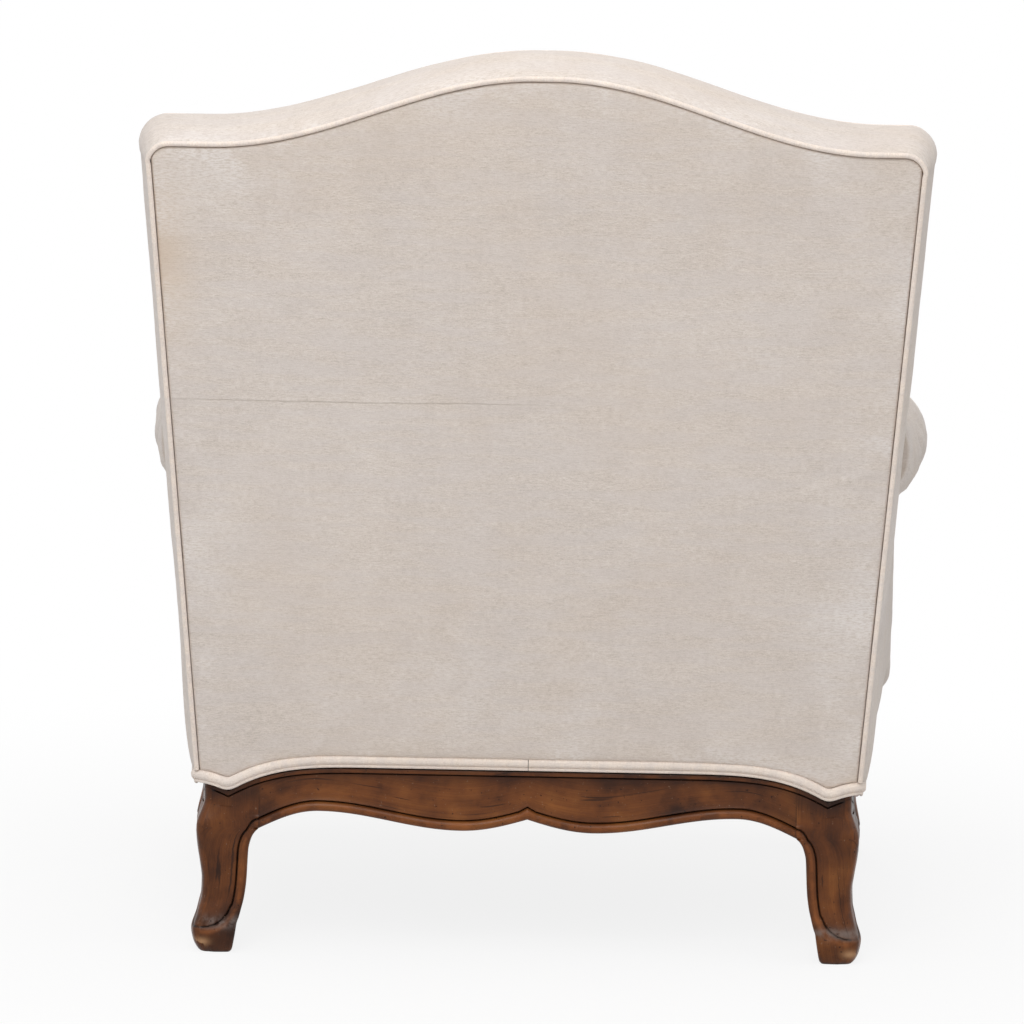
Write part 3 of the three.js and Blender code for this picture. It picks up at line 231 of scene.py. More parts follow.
def srgb(red, green, blue):
    """A colour as it is read off a picture, in the linear numbers that a shader takes."""
    shares = [channel / 255 for channel in (red, green, blue)]
    return tuple(c / 12.92 if c <= 0.04045 else ((c + 0.055) / 1.055) ** 2.4 for c in shares) + (1.0,)


class Finish:
    """One procedural material: a principled shader and the nodes that feed it."""

    def __init__(self, name, **constants):
        self.material = bpy.data.materials.new(name)
        self.material.use_nodes = True
        self.tree = self.material.node_tree
        self.shader = self.tree.nodes["Principled BSDF"]
        for key, value in constants.items():
            self.shader.inputs[key.replace("_", " ").title()].default_value = value

    def add(self, kind, inputs=None, **settings):
        return add_node(self.tree, kind, inputs, **settings)

    def place(self, scale=(1, 1, 1), turned=(0, 0, 0), uv=None):
        if uv:
            source = self.add("ShaderNodeUVMap", uv_map=uv).outputs[0]
        else:
            source = self.add("ShaderNodeTexCoord").outputs["Object"]
        return self.add("ShaderNodeMapping", {"Vector": source, "Scale": scale, "Rotation": turned}).outputs[0]

    def grain(self, vector, scale=1.0, detail=2.0, roughness=0.5, distortion=0.0):
        knobs = {"Vector": vector, "Scale": scale, "Detail": detail, "Roughness": roughness}
        return self.add("ShaderNodeTexNoise", {**knobs, "Distortion": distortion}).outputs[0]

    def attribute(self, name):
        return self.add("ShaderNodeAttribute", attribute_name=name).outputs["Fac"]

    def math(self, operation, first, second=0.0):
        return self.add("ShaderNodeMath", {0: first, 1: second}, operation=operation).outputs[0]

    def times(self, first, second):
        return self.math("MULTIPLY", first, second)

    def plus(self, first, second):
        return self.math("ADD", first, second)

    def spread(self, value, low, high, to_low=0.0, to_high=1.0):
        knobs = {"Value": value, "From Min": low, "From Max": high, "To Min": to_low, "To Max": to_high}
        return self.add("ShaderNodeMapRange", knobs, interpolation_type="SMOOTHSTEP").outputs[0]

    def colours(self, value, *stops):
        ramp = self.add("ShaderNodeValToRGB", {0: value})
        elements = ramp.color_ramp.elements
        elements[0].position, elements[0].color = stops[0][0], srgb(*stops[0][1:])
        elements[1].position, elements[1].color = stops[-1][0], srgb(*stops[-1][1:])
        for position, *colour in stops[1:-1]:
            elements.new(position).color = srgb(*colour)
        return ramp.outputs[0]

    def blend(self, share, under, *colour):
        """Lays a colour over another one."""
        knobs = {0: share, 6: under, 7: srgb(*colour)}
        return self.add("ShaderNodeMix", knobs, data_type="RGBA", blend_type="MIX").outputs[2]

    def surface(self, colour, rough, height, depth):
        bump = self.add("ShaderNodeBump", {"Height": height, "Distance": depth, "Strength": 1.0}).outputs[0]
        for key, source in (("Base Color", colour), ("Roughness", rough), ("Normal", bump)):
            if source is not None:
                self.tree.links.new(source, self.shader.inputs[key])
        return self.material


walnut = Finish("walnut_rubbed", Coat_weight=0.08, Coat_roughness=0.22)
walnut.shader.inputs["Specular IOR Level"].default_value = 0.14
along_grain = walnut.grain(walnut.place((2.2, 70.0, 1), uv="grain"), 1, 4, 0.6, 0.35)
fine_grain = walnut.grain(walnut.place((14.0, 760.0, 1), uv="grain"), 1, 3, 0.6)
pores = walnut.grain(walnut.place((45.0, 1500.0, 1), uv="grain"), 1, 2, 0.6)
gouges = walnut.grain(walnut.place((9.0, 240.0, 1), uv="grain"), 1, 1, 0.5, 0.8)
clouds = walnut.grain(walnut.place(), 17, 3, 0.5)
stain = walnut.grain(walnut.place(), 55, 4, 0.6)
figure = walnut.plus(walnut.times(along_grain, 0.26), walnut.times(fine_grain, 0.14))
figure = walnut.plus(figure, walnut.times(clouds, 0.6))
wood = walnut.colours(figure, (0.36, 44, 23, 13), (0.46, 76, 41, 20), (0.54, 100, 57, 27), (0.64, 128, 78, 38))
wood = walnut.blend(walnut.spread(pores, 0.62, 0.74, 0, 0.4), wood, 38, 20, 14)
# Painted shade: the wood under the double welt is painted dark brown, as the shade that falls under it. The same field
# also gives a darker tone towards the legs, towards one end of a rail and along the outer corner of a leg.
shade_and_age = walnut.times(walnut.attribute("aged_and_shaded"), walnut.spread(clouds, 0.3, 0.62, 1.0, 0.7))
wood = walnut.blend(shade_and_age, wood, 40, 22, 15)
groove = walnut.attribute("groove")
broken = walnut.times(groove, walnut.spread(stain, 0.2, 0.62, 1.15, 0.8))
wood = walnut.blend(walnut.spread(broken, 0.05, 0.95), wood, 19, 11, 9)
# Pale orange-brown where the finish is worn on proud edges, and painted highlights on the bead crests and in the
# middle of the cove.
wear_and_highlight = walnut.times(walnut.attribute("rubbed_and_highlit"), walnut.spread(stain, 0.35, 0.6, 0.1, 0.55))
wood = walnut.blend(wear_and_highlight, wood, 150, 88, 46)
bare = walnut.times(walnut.attribute("bare"), walnut.spread(stain, 0.45, 0.5))
wood = walnut.blend(bare, wood, 172, 132, 96)
# Grey on the scroll of the foot: scuffs, and painted glints.
scuff_and_glint = walnut.times(walnut.attribute("scuff_and_glint"), walnut.spread(stain, 0.42, 0.62))
wood = walnut.blend(walnut.times(scuff_and_glint, 0.7), wood, 118, 106, 100)
dust = walnut.grain(walnut.place(), 420, 1, 0.5)
wood = walnut.blend(walnut.spread(dust, 0.74, 0.765, 0, 0.4), wood, 140, 116, 98)
wood = walnut.blend(walnut.spread(gouges, 0.68, 0.74, 0, 0.7), wood, 30, 16, 11)
fleck = walnut.grain(walnut.place(), 260, 1, 0.5)
wood = walnut.blend(walnut.spread(fleck, 0.73, 0.76, 0, 0.7), wood, 18, 11, 10)
gloss = walnut.plus(walnut.spread(stain, 0.3, 0.7, 0.3, 0.46), walnut.times(groove, 0.2))
relief = walnut.math("SUBTRACT", walnut.times(stain, 0.6), walnut.spread(pores, 0.6, 0.74, 0, 0.4))
walnut_finish = walnut.surface(wood, gloss, relief, 0.0004)


def placed(points):
    """Points of the drawing, in metres and at the part's place."""
    return np.asarray(points) * MILLIMETRE + np.array([0, drawing_shift, 0])


def mark_points(mesh, field, values):
    stored = mesh.attributes.new(field, "FLOAT", "POINT")
    stored.data.foreach_set("value", np.asarray(values, np.float32).ravel())


def make_piece(name, points, quads, quad_uv, material, caps=(), fields=None, sharp=50.0, uv="cloth"):
    """A closed mesh in metres, with its faces turned outwards, its own UV map and named values at its points."""
    points = np.asarray(points, float)
    a, b, c, d = (points[quads[:, k]] for k in range(4))
    volume = np.einsum("ij,ij->", a, np.cross(b, c)) + np.einsum("ij,ij->", a, np.cross(c, d))
    for cap in caps:
        first, rest = points[cap[0]], points[np.asarray(cap[1:])]
        volume += np.einsum("ij,ij->", np.broadcast_to(first, rest[1:].shape), np.cross(rest[:-1], rest[1:]))
    if volume < 0:
        quads, quad_uv = quads[:, ::-1], quad_uv[:, ::-1]
        caps = [list(cap)[::-1] for cap in caps]
    at = placed(points)
    mesh = bpy.data.meshes.new(name)
    mesh.from_pydata(at.tolist(), [], quads.tolist() + [list(cap) for cap in caps])
    cap_uv = [np.stack([at[list(cap), 0] + at[list(cap), 1], at[list(cap), 2]], -1) for cap in caps]
    layer = mesh.uv_layers.new(name=uv)
    layer.data.foreach_set("uv", np.concatenate([quad_uv.reshape(-1, 2), *cap_uv]).astype(np.float32).ravel())
    for field, values in (fields or {}).items():
        mark_points(mesh, field, values)
    mesh.polygons.foreach_set("use_smooth", np.ones(len(mesh.polygons), bool))
    mesh.set_sharp_from_angle(angle=math.radians(sharp))
    mesh.materials.append(material)
    return stand(name, mesh)


def cell_corners(values):
    """The four corners of each cell of a grid of indices or of UV pairs."""
    return np.stack([values[:-1, :-1], values[:-1, 1:], values[1:, 1:], values[1:, :-1]], 2)


def skin(name, rings, uv_rings, material, fields=None, sharp=50.0, uv="cloth"):
    """A closed skin through rings of points, with a flat end on the first and on the last ring."""
    rows, count = rings.shape[:2]
    index = np.arange(rows * count).reshape(rows, count)
    quads = cell_corners(np.hstack([index, index[:, :1]])).reshape(-1, 4)
    caps = [index[0][::-1].tolist(), index[-1].tolist()]
    quad_uv = cell_corners(uv_rings).reshape(-1, 4, 2)
    fields = {field: np.broadcast_to(values, (rows, count)) for field, values in (fields or {}).items()}
    return make_piece(name, rings.reshape(-1, 3), quads, quad_uv, material, caps, fields, sharp, uv)


def fit(piece, body, slot, *nodes, fill=None, sheet=None):
    """Hides the solids that a piece stands for, and hangs it on the body that it moves with; its slot, fill and sheet
    are not used.
    """
    if nodes:
        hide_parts(*nodes)
    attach(piece, body)


def run_length(line, closed=False):
    """Distance along a line of points, from its start to each point."""
    steps = np.linalg.norm(np.diff(line, axis=0, append=line[:1]), axis=-1)
    return np.concatenate([[0], np.cumsum(steps if closed else steps[:-1])])


NECK_DEPTH, SIDE_NECK, NECK_FOOT, NECK_HEAD, NECK_REACH = 8.5, 6.0, 136.0, 166.0, 34.0
BEAD_RADIUS = 5.2


def neck_share(z):
    """How far the wood is drawn in under the covers: nought at the knee of a leg, one at the double welt."""
    rise = unit((z - NECK_FOOT) / (NECK_HEAD - NECK_FOOT))
    return rise * rise * (3 - 2 * rise)


def rail_profile(low, top, peak):
    """Carved section at each station: depth, height, how dark each point is, and its wear and painted highlight."""
    cove_share = np.linspace(0, 1, 16)
    rows = []

    def lay(depth, high, dark=0.0, rubbed_and_highlit=0.0):
        rows.append((depth + 0 * low, high + 0 * low, dark, rubbed_and_highlit))

    lay(10.0, low)
    # The bead's crest is paler: wear, and a painted highlight.
    for turn in np.radians(np.linspace(-90, 72, 12)):
        raised = BEAD_RADIUS + peak / 2
        lay(4 - BEAD_RADIUS * np.cos(turn), low + raised * (1 + np.sin(turn)), 0, 0.8 * max(np.cos(turn), 0) ** 2)
    crest = low + 2 * BEAD_RADIUS + peak
    for depth, rise, dark in ((3.9, 0.5, 1.0), (3.4, 0.9, 1.0), (1.7, 1.6, 0.55)):
        lay(depth, crest + rise, dark)
    # Across the cove: the top is painted darker as shade under the welt, the middle paler as painted light on the lit
    # side of the hollow, and the foot dark with stain beside the groove.
    for share, depth in zip(cove_share, 0.7 + 2.2 * np.sin(math.pi * cove_share) ** 0.7):
        high = mix(crest + 2.3, top - 6.9, share)
        lay(depth, high, 0.26 * (share**3) + 0.3 * (1 - share) ** 8, 0.35 * (1 - share) * share * 4)
    # Up the fillet: a dark stained groove, then a proud strip with worn edges, then the wood under the double welt,
    # painted dark as the shade that falls under it.
    for depth, drop, dark, rubbed_and_highlit in (
        *((1.7, 6.6, 0.45, 0), (2.9, 6.2, 1.0, 0), (2.8, 5.7, 1.0, 0), (0.7, 5.3, 0.4, 0), (0.1, 4.8, 0, 0.4)),
        *((-0.2, 3.6, 0, 0.5), (-0.2, 1.4, 0.05, 0.3), (0.5, 0.4, 0.3, 0), (1.8, 0, 0.7, 0), (RECESS, -0.5, 0.9, 0)),
    ):
        lay(depth, top - drop, dark, rubbed_and_highlit)
    for depth, high in ((RECESS, FRAME_TOP), (RAIL_THICK, FRAME_TOP), (RAIL_THICK, LEDGE), (APRON_THICK, LEDGE)):
        lay(depth, high)
    lay(APRON_THICK, low + 1.5)
    lay(22.5, low)
    depth, high = (np.stack([row[k] for row in rows], 1) for k in (0, 1))
    return depth, high, np.array([row[2] for row in rows]), np.array([row[3] for row in rows])


def grain_uv(along, rings, seed):
    """Wood grain that runs with the length, and measures round the section; each piece is cut from its own place."""
    around = np.linalg.norm(np.diff(rings, axis=1, append=rings[:, :1]), axis=2)
    across_grain = np.hstack([np.zeros((len(rings), 1)), np.cumsum(around, axis=1)])
    return np.dstack([np.broadcast_to(along, across_grain.shape) + 1000 * seed, across_grain]) * MILLIMETRE


def carved_rail(name, half, put):
    """One rail from end to end, with stations close together at the cusp."""
    shares = np.linspace(-1, 1, 241)
    shares = np.sign(shares) * np.abs(shares) ** 1.15
    to_leg = ((1 - np.abs(shares)) * half)[:, None]
    low = apron_edge(np.abs(shares))
    top = welt_line(LEG_BLOCK + to_leg[:, 0])
    peak = 2.4 * unit(1 - np.abs(shares) * half / 9)
    depth, high, dark, rubbed_and_highlit = rail_profile(low, top, peak)
    rings = put(shares[:, None] + 0 * depth, depth, high)
    uv_rings = grain_uv((shares * half)[:, None], np.dstack([depth, high]), 0.37 * (len(name) + ord(name[0])))
    at_leg = near(to_leg, 1.4)
    # Darkening field: painted shade within 20 mm under the double welt, and a darker tone towards the legs and towards
    # one end.
    under_welt = unit((high - top[:, None] + 20) / 20) ** 1.5
    one_end = 0.22 * unit(-shares - 0.2)[:, None]
    fields = {
        "groove": np.maximum(dark, 0.4 * at_leg),
        "rubbed_and_highlit": rubbed_and_highlit * (1 - at_leg),
        "aged_and_shaded": unit(np.maximum(0.85 * under_welt, 0.55 * near(to_leg, 32)) + one_end),
    }
    rail = skin(f"carved_{name}", rings, uv_rings, walnut_finish, fields, 42, "grain")
    fit(rail, "chair", "walnut", name)


rear_half = REAR_WIDTH / 2 - LEG_BLOCK + JOINT_GAP / 2
front_half = FRONT_WIDTH / 2 - LEG_BLOCK + JOINT_GAP / 2
side_half = SEAT_DEPTH / 2 - LEG_BLOCK * math.cos(FLARE) + JOINT_GAP / 2


def on_rear(share, depth, z):
    return np.dstack([share * (rear_half + depth * math.tan(FLARE)), REAR_FACE - depth, z])


def on_front(share, depth, z):
    x = share * (front_half - depth * math.tan(FLARE))
    return np.dstack([x, FRONT_FACE - bow_at(share * front_half) + depth, z])


def on_side(share, depth, z, sign):
    drawn_in = SIDE_NECK * neck_share(z) * unit(1 - depth / 22)
    return np.dstack([sign * (side_face(share * side_half) - depth - drawn_in), share * side_half + 0 * depth, z])


carved_rail("rear_seat_rail", rear_half, on_rear)
carved_rail("front_seat_rail", front_half, on_front)
for hand, sign in HANDS:
    carved_rail(f"{hand}_seat_rail", side_half, lambda share, depth, z: on_side(share, depth, z, sign))

# 3. Legs: four cabriole legs of the same walnut, each carved from one block that stands between the rails. The bead
# and groove of the rails turn down both inner edges, and sweep out over a scroll foot whose toe has lost its finish.
LEG_SHARES = np.array([0, 0.02, 0.09, 0.18, 0.24, 0.28, 0.35, 0.44, 0.57, 0.7, 0.83, 0.915, 0.965, 1])
OUTER_FACES = {
    "rear": np.array([0.075, 0.04, -0.02, -0.05, -0.015, 0.015, 0.05, 0.09, 0.1, 0.07, 0.03, 0.01, 0, 0]),
    "front": np.array([0.15, 0.115, 0.05, 0.075, 0.12, 0.155, 0.175, 0.16, 0.11, 0.06, 0.02, 0, 0, 0]),
}
INNER_FACES = {
    "rear": np.array([0.55, 0.58, 0.61, 0.64, 0.66, 0.69, 0.73, 0.775, 0.81, 0.825, 0.84, 0.88, 0.93, 1]),
    "front": np.array([0.62, 0.65, 0.68, 0.715, 0.74, 0.765, 0.8, 0.84, 0.865, 0.875, 0.885, 0.91, 0.95, 1]),
}
FOOT_TOP = 62
FOOT_GROOVE = [(0.73, 49), (0.7, 42), (0.62, 35.5), (0.5, 31), (0.35, 28.5), (0.2, 28), (0.05, 29), (-0.1, 30)]


def smooth_table(at, keys, values):
    """A smooth curve through a table, without overshoot between its rows."""
    slopes = np.diff(values) / np.diff(keys)
    tangents = np.zeros(len(values))
    same = slopes[:-1] * slopes[1:] > 0
    tangents[1:-1][same] = (2 * slopes[:-1] * slopes[1:] / (slopes[:-1] + slopes[1:] + 1e-12))[same]
    tangents[0], tangents[-1] = slopes[0], slopes[-1]
    k = np.clip(np.searchsorted(keys, at, side="right") - 1, 0, len(keys) - 2)
    width = keys[k + 1] - keys[k]
    t = unit((at - keys[k]) / width)
    lead = (1 + 2 * t) * (1 - t) ** 2 * values[k] + t * (1 - t) ** 2 * width * tangents[k]
    return lead + t * t * (3 - 2 * t) * values[k + 1] + t * t * (t - 1) * width * tangents[k + 1]


def corner_point(end, sign, a, b, z):
    """A point of a leg: a runs along the front or rear face from the corner, and b along the side face."""
    way, width = (1, REAR_WIDTH) if end == "rear" else (-1, FRONT_WIDTH)
    x = width / 2 - a + way * b * math.sin(FLARE)
    return np.dstack([sign * x, way * (SEAT_DEPTH / 2 - b * math.cos(FLARE)), z])


def leg_faces(z, end):
    """Offsets of the outer and the inner face from the corner's face lines, at each height."""
    share = unit(z / APRON_END)
    return [smooth_table(share, LEG_SHARES, faces[end]) * LEG_BLOCK for faces in (OUTER_FACES, INNER_FACES)]


def groove_line(end):
    """The groove on one face of a leg: in from the rail, down the inner edge and out over the foot."""
    turned = [(80.0, 146.2), (66.5, 146.1), (62.5, 145.0), (59.0, 142.4), (56.6, 139.0)]
    down = np.linspace(134.0, 52.0, 40)
    foot = []
    for share, z in FOOT_GROOVE:
        outer, inner = leg_faces(np.array([float(z)]), end)
        foot.append((mix(outer[0], inner[0], share), z))
    return np.array(turned + list(zip(leg_faces(down, end)[1] - 11.0, down)) + foot)


def groove_offset(a, z, line):
    """Signed distance to the groove: above nought on the side of the bead."""
    shape = a.shape
    spot = np.stack([a.ravel(), z.ravel()], 1)
    best = np.full(len(spot), 1e9)
    side = np.ones(len(spot))
    for start, end in zip(line[:-1], line[1:]):
        run = end - start
        share = unit(((spot - start) @ run) / (run @ run))
        away = spot - start - share[:, None] * run
        distance = np.hypot(away[:, 0], away[:, 1])
        closer = distance < best - 1e-9
        best[closer] = distance[closer]
        turned = run[0] * (spot[:, 1] - start[1]) - run[1] * (spot[:, 0] - start[0])
        side[closer] = np.sign(turned[closer])
    return (best * side).reshape(shape)


def carve(a, z, outer, inner, line):
    """Height of the carving over one face of a leg, and how dark the stain lies in it."""
    s = groove_offset(a, z, line)
    field = -2.4 * ridge(s, 0.9) - 0.5 * np.exp(s / 6)
    bead = -2.4 * ridge(s, 0.75) + 0.8 * (1 - near(s, 1.5))
    height = np.where(s < 0, field, bead)
    above = unit((z - 120) / 18)
    height += (1 - above) * 1.2 * np.sin(math.pi * unit((inner - a) / (inner - outer + 1e-9)))
    edge = unit((inner - a) / 4.2)
    height -= np.where(z < APRON_END + 1, 3.6 * (1 - np.sqrt(unit(1 - (1 - edge) ** 2))), 0)
    low_edge = np.clip((z - APRON_END) / BEAD_RADIUS, 0, 2)
    height -= np.where(z >= APRON_END, unit((a - 58) / 8.5) * 3.4 * unit(1 - low_edge) ** 2, 0)
    top = welt_line(np.minimum(a, LEG_BLOCK))
    to_fillet = z - (top - 5.95)
    height -= 2.6 * ridge(to_fillet, 0.75)
    join = unit((a - 44) / 22) ** 2 * unit((z - 147.5) / 3) * unit(-to_fillet / 1.5)
    rise = unit((z - 148.5) / np.maximum(top - 7 - 148.5, 1))
    height -= join * (0.7 + 2.2 * np.sin(math.pi * rise) ** 0.7)
    dark = np.maximum(ridge(s, 1.25), 0.35 * near(np.abs(s), 3.5))
    dark = np.maximum(dark, ridge(to_fillet, 1.0))
    # Paler on the crest of the bead and in a band of the field: wear, and painted highlights.
    rubbed_and_highlit = unit(ridge(s - 5, 2.6) * 0.8 + 0.25 * ridge(s + 14, 9))
    return height, dark, rubbed_and_highlit


def carved_leg(end, hand, sign):
    """One leg from its sole up, in level sections below the rails, and along the welt above them."""
    foot, shank = np.arange(3.0, 58, 0.95), np.arange(58.5, 132, 2.1)
    knee = [*np.arange(132.5, 152, 0.8), *np.arange(153, 160, 1.4)]
    fillet = [-9.6, -8.6, -7.8, -7.2, -6.7, -6.3, -5.95, -5.6, -5.2, -4.7, -4.0, -2.6, -1.2, -0.4, 0.0]
    stations = [(z, None) for z in (0.0, 0.5, 1.2, 2.0, *foot, *shank, *knee)]
    stations += [(WELT_DIP, shift) for shift in (*(np.linspace(0.12, 1, 6) * 10 - 20.5), *fillet)]
    close = 1 - np.concatenate([np.linspace(0, 0.33, 36, endpoint=False), np.linspace(0.33, 1, 26)])
    knuckle = np.radians(np.linspace(0, 90, 11))[1:-1]
    block = 8.0
    line = groove_line(end)
    rows = []
    for z_base, shift in stations:
        level = shift is None
        outer, inner = (face[0] for face in leg_faces(np.array([z_base if level else APRON_END]), end))
        if z_base > APRON_END:
            outer, inner = mix(outer, 0, min((z_base - APRON_END) / 6, 1)), LEG_BLOCK
        neck, side_neck = (depth * float(neck_share(z_base)) for depth in (NECK_DEPTH, SIDE_NECK))
        outer += neck
        a = mix(outer + block, inner, close)
        z = np.full_like(a, z_base) if level else welt_line(np.minimum(a, LEG_BLOCK)) + shift
        height, dark, rubbed_and_highlit = carve(a, z, outer, inner, line)
        slim = unit((a - outer - block) / 6)
        drawn = unit(1 - (a - outer - block) / NECK_REACH) ** 1.5
        b = outer - neck - height * np.where(z_base < FOOT_TOP, unit(0.3 + 0.7 * slim), slim)
        b, side_b = b + neck * drawn, b + mix(side_neck, neck, drawn)
        arm = block + height[-1] * (0.3 if z_base < FOOT_TOP else 0.0)
        arc_a, arc_b = outer + block - arm * np.sin(knuckle), outer + block - arm * np.cos(knuckle)
        arc_z = np.full(len(knuckle), z[-1])
        if not level:
            arc_z = mix(z[-1], welt_line(0) + shift, np.minimum(np.sin(2 * knuckle), 1))
        chamfer, blank, calm = mix(outer, inner, 0.68), np.zeros(4), np.ones(len(knuckle))
        section = (
            (a, arc_a, side_b[::-1], [chamfer + 2, chamfer, inner - 1.2, inner - 0.3]),
            (b, arc_b, a[::-1], [inner - 0.3, inner - 1.2, chamfer, chamfer + 2]),
            (z, arc_z, z[::-1], np.full(4, z_base if level else z_base + shift)),
            (dark, dark[-1] * calm, dark[::-1], blank),
            (rubbed_and_highlit, 0.35 * calm, rubbed_and_highlit[::-1], blank),
        )
        rows.append([np.concatenate(part) for part in section])
    # Above the double welt the leg runs on under the covers, painted dark as the shade that falls there.
    for head in (0.5, FRAME_TOP):
        a, b, z = rows[-1][:3]
        z = z + head if head < 1 else np.full(len(z), head)
        rows.append([np.maximum(a, RECESS), np.maximum(b, RECESS), z, np.full(len(a), 0.9), np.zeros(len(a))])
    a, b, z, dark, rubbed_and_highlit = np.array(rows).transpose(1, 0, 2)
    rings = corner_point(end, sign, a, b, z)
    name = f"{end}_{hand}_leg"
    uv_rings = grain_uv(rings[:, :1, 2], rings, 0.61 * (len(name) + 3 * sign))
    # Darkening field: painted shade under the double welt, and a darker tone along the outer corner of the leg.
    near_corner = near(np.abs(a - b), 9) * unit(1 - np.minimum(a, b) / 20)
    under_welt = unit((z - 148) / 26) ** 1.5
    fields = {
        "groove": unit(np.maximum(np.maximum(dark, 0.6 * unit(1 - z / 5)), 0.58 * ridge(z - 37, 11))),
        "rubbed_and_highlit": unit(rubbed_and_highlit),
        "bare": ridge(z - 12, 4.5) * ridge(a + 0.4 * b - 5, 7.5),
        # Scuffs and painted glints on the scroll, near the outer corner.
        "scuff_and_glint": ridge(z - 34, 6) * unit(1 - np.minimum(a, b) / 14),
        "aged_and_shaded": unit(np.maximum(0.8 * under_welt, 0.7 * near_corner)),
    }
    leg = skin(f"carved_{name}", rings, uv_rings, walnut_finish, fields, 55, "grain")
    fit(leg, "chair", "walnut", name)


for hand, sign in HANDS:
    carved_leg("rear", hand, sign)
    carved_leg("front", hand, sign)

# 4. Hidden frame: back posts, crest rail, arm rails, arm posts, tacking rails and corner blocks of plain sawn beech,
# dowelled and glued. They are as the solids are, and only take their wood.
beech_nodes = {
    "z": ["left_back_post", "right_back_post", "left_arm_post", "right_arm_post"],
    "x": ["crest_rail", "lower_back_rail"]
    + [f"{end}_{hand}_corner_block" for end in ("front", "rear") for hand in ("left", "right")],
    "y": ["left_arm_rail", "right_arm_rail", "left_arm_tack_rail", "right_arm_tack_rail"],
}
GRAIN_SCALES = {"x": (4, 160, 160), "y": (160, 4, 160), "z": (160, 160, 4)}


def coat(piece, finish):
    piece.data.materials.clear()
    piece.data.materials.append(finish)


for axis, names in beech_nodes.items():
    beech = Finish(f"beech_along_{axis}")
    rings = beech.grain(beech.place(GRAIN_SCALES[axis]), 1, 4, 0.6, 0.3)
    flecks = beech.grain(beech.place([4 * s for s in GRAIN_SCALES[axis]]), 1, 2, 0.5)
    timber = beech.colours(rings, (0.3, 168, 126, 86), (0.5, 198, 158, 114), (0.7, 214, 178, 136))
    timber = beech.blend(beech.spread(flecks, 0.6, 0.72, 0, 0.5), timber, 140, 96, 62)
    beech_finish = beech.surface(timber, beech.spread(rings, 0.3, 0.7, 0.62, 0.78), flecks, 0.0003)
    for node_name in names:
        coat(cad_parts[node_name], beech_finish)


# 5. Suspension: crossed jute webbing under the seat and in the back, nine waisted coil springs sewn to it, and burlap
# tacked over both. The springs are as their solids are; the straps pass over and under each other.
def waves(seed, u, v=0.0):
    """Smooth random waves between -1 and 1, one to each step of u and v."""
    table = np.random.default_rng(seed).uniform(-1, 1, (64, 64))
    u, v = np.broadcast_arrays(np.asarray(u, float), np.asarray(v, float))
    i, j = np.floor(u).astype(int), np.floor(v).astype(int)
    s, t = u - i, v - j
    s, t = s**3 * (s * (6 * s - 15) + 10), t**3 * (t * (6 * t - 15) + 10)
    i, j, p, q = i % 64, j % 64, (i + 1) % 64, (j + 1) % 64
    return mix(mix(table[i, j], table[p, j], s), mix(table[i, q], table[p, q], s), t)


def crossed_threads(cloth, flat, threads, uneven):
    """How high the threads of a plain weave stand, with so many a metre both ways."""
    knobs = {"Vector": flat, "Scale": threads / 6.2832, "Distortion": uneven, "Detail": 1.0}
    ways = [cloth.add("ShaderNodeTexWave", knobs, wave_type="BANDS", bands_direction=way) for way in "XY"]
    return cloth.math("MAXIMUM", ways[0].outputs["Fac"], ways[1].outputs["Fac"])


def woven(name, dark, light, threads, across_turn=0.0):
    """A coarse plain weave, seen in the piece's own plane."""
    cloth = Finish(name, Roughness=0.95)
    thread = crossed_threads(cloth, cloth.place(turned=(across_turn, 0, 0)), threads, 1.4)
    slub = cloth.grain(cloth.place((60, 60, 60)), 1, 3, 0.6)
    tone = cloth.plus(cloth.times(thread, 0.6), cloth.times(slub, 0.4))
    return cloth.surface(cloth.colours(tone, (0.25, *dark), (0.75, *light)), None, thread, 0.0006)


jute_finish = woven("jute_webbing_weave", (112, 84, 50), (190, 154, 106), 900)
burlap_finish = woven("burlap_weave", (104, 80, 50), (186, 152, 108), 640)
back_burlap_finish = woven("back_burlap_weave", (104, 80, 50), (186, 152, 108), 640, math.radians(77))


def resample(line, count, closed=True):
    """A line laid out again in equal steps."""
    ring = np.vstack([line, line[:1]]) if closed else np.asarray(line)
    run = run_length(ring)
    at = np.linspace(0, run[-1], count + 1)[:-1] if closed else np.linspace(0, run[-1], count)
    return np.stack([np.interp(at, run, ring[:, k]) for k in range(ring.shape[1])], 1)


def pillow_grid(outline, centre, shares):
    """Rings that shrink an outline towards a centre, and turn oval and lose its corners as they do."""
    window = np.hanning(len(outline) // 12 * 2 + 1)
    wrapped = np.concatenate([outline[-(len(window) // 2) :], outline, outline[: len(window) // 2]])
    soft = np.stack([np.convolve(wrapped[:, k], window / window.sum(), "valid") for k in (0, 1)], 1)
    away = outline - centre
    half_u = min(away[:, 0].max(), -away[:, 0].min())
    half_v = min(away[:, 1].max(), -away[:, 1].min())
    oval = 1 / np.hypot(away[:, 0] / half_u, away[:, 1] / half_v)
    s = np.asarray(shares)[:, None]
    reach = np.where(s < 1, s * mix(oval[None], 1, np.minimum(s, 1)), s)
    blunted = mix(away[None], (soft - centre)[None], unit(3 * (1 - s))[..., None])
    return centre + reach[:, :, None] * blunted


def uv_grid(u, v):
    return np.dstack(np.broadcast_arrays(u, v)) * MILLIMETRE


def closed_uv(plane):
    return np.concatenate([plane, plane[:, :1]], 1) * MILLIMETRE


def node_corners(node_name):
    """The corners of a solid, in millimetres of the drawing."""
    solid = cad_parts[node_name]
    places = np.array([solid.matrix_world @ corner.co for corner in solid.data.vertices])
    return (places - np.array([0, drawing_shift, 0])) / MILLIMETRE


def in_order(flat):
    """Corners of an outline, in order round their middle."""
    corners = np.unique(np.round(flat, 2), axis=0)
    away = corners - (corners.min(axis=0) + corners.max(axis=0)) / 2
    return corners[np.argsort(np.arctan2(away[:, 1], away[:, 0]))]


def upright(x, y, z):
    return np.dstack(np.broadcast_arrays(x, y, z))


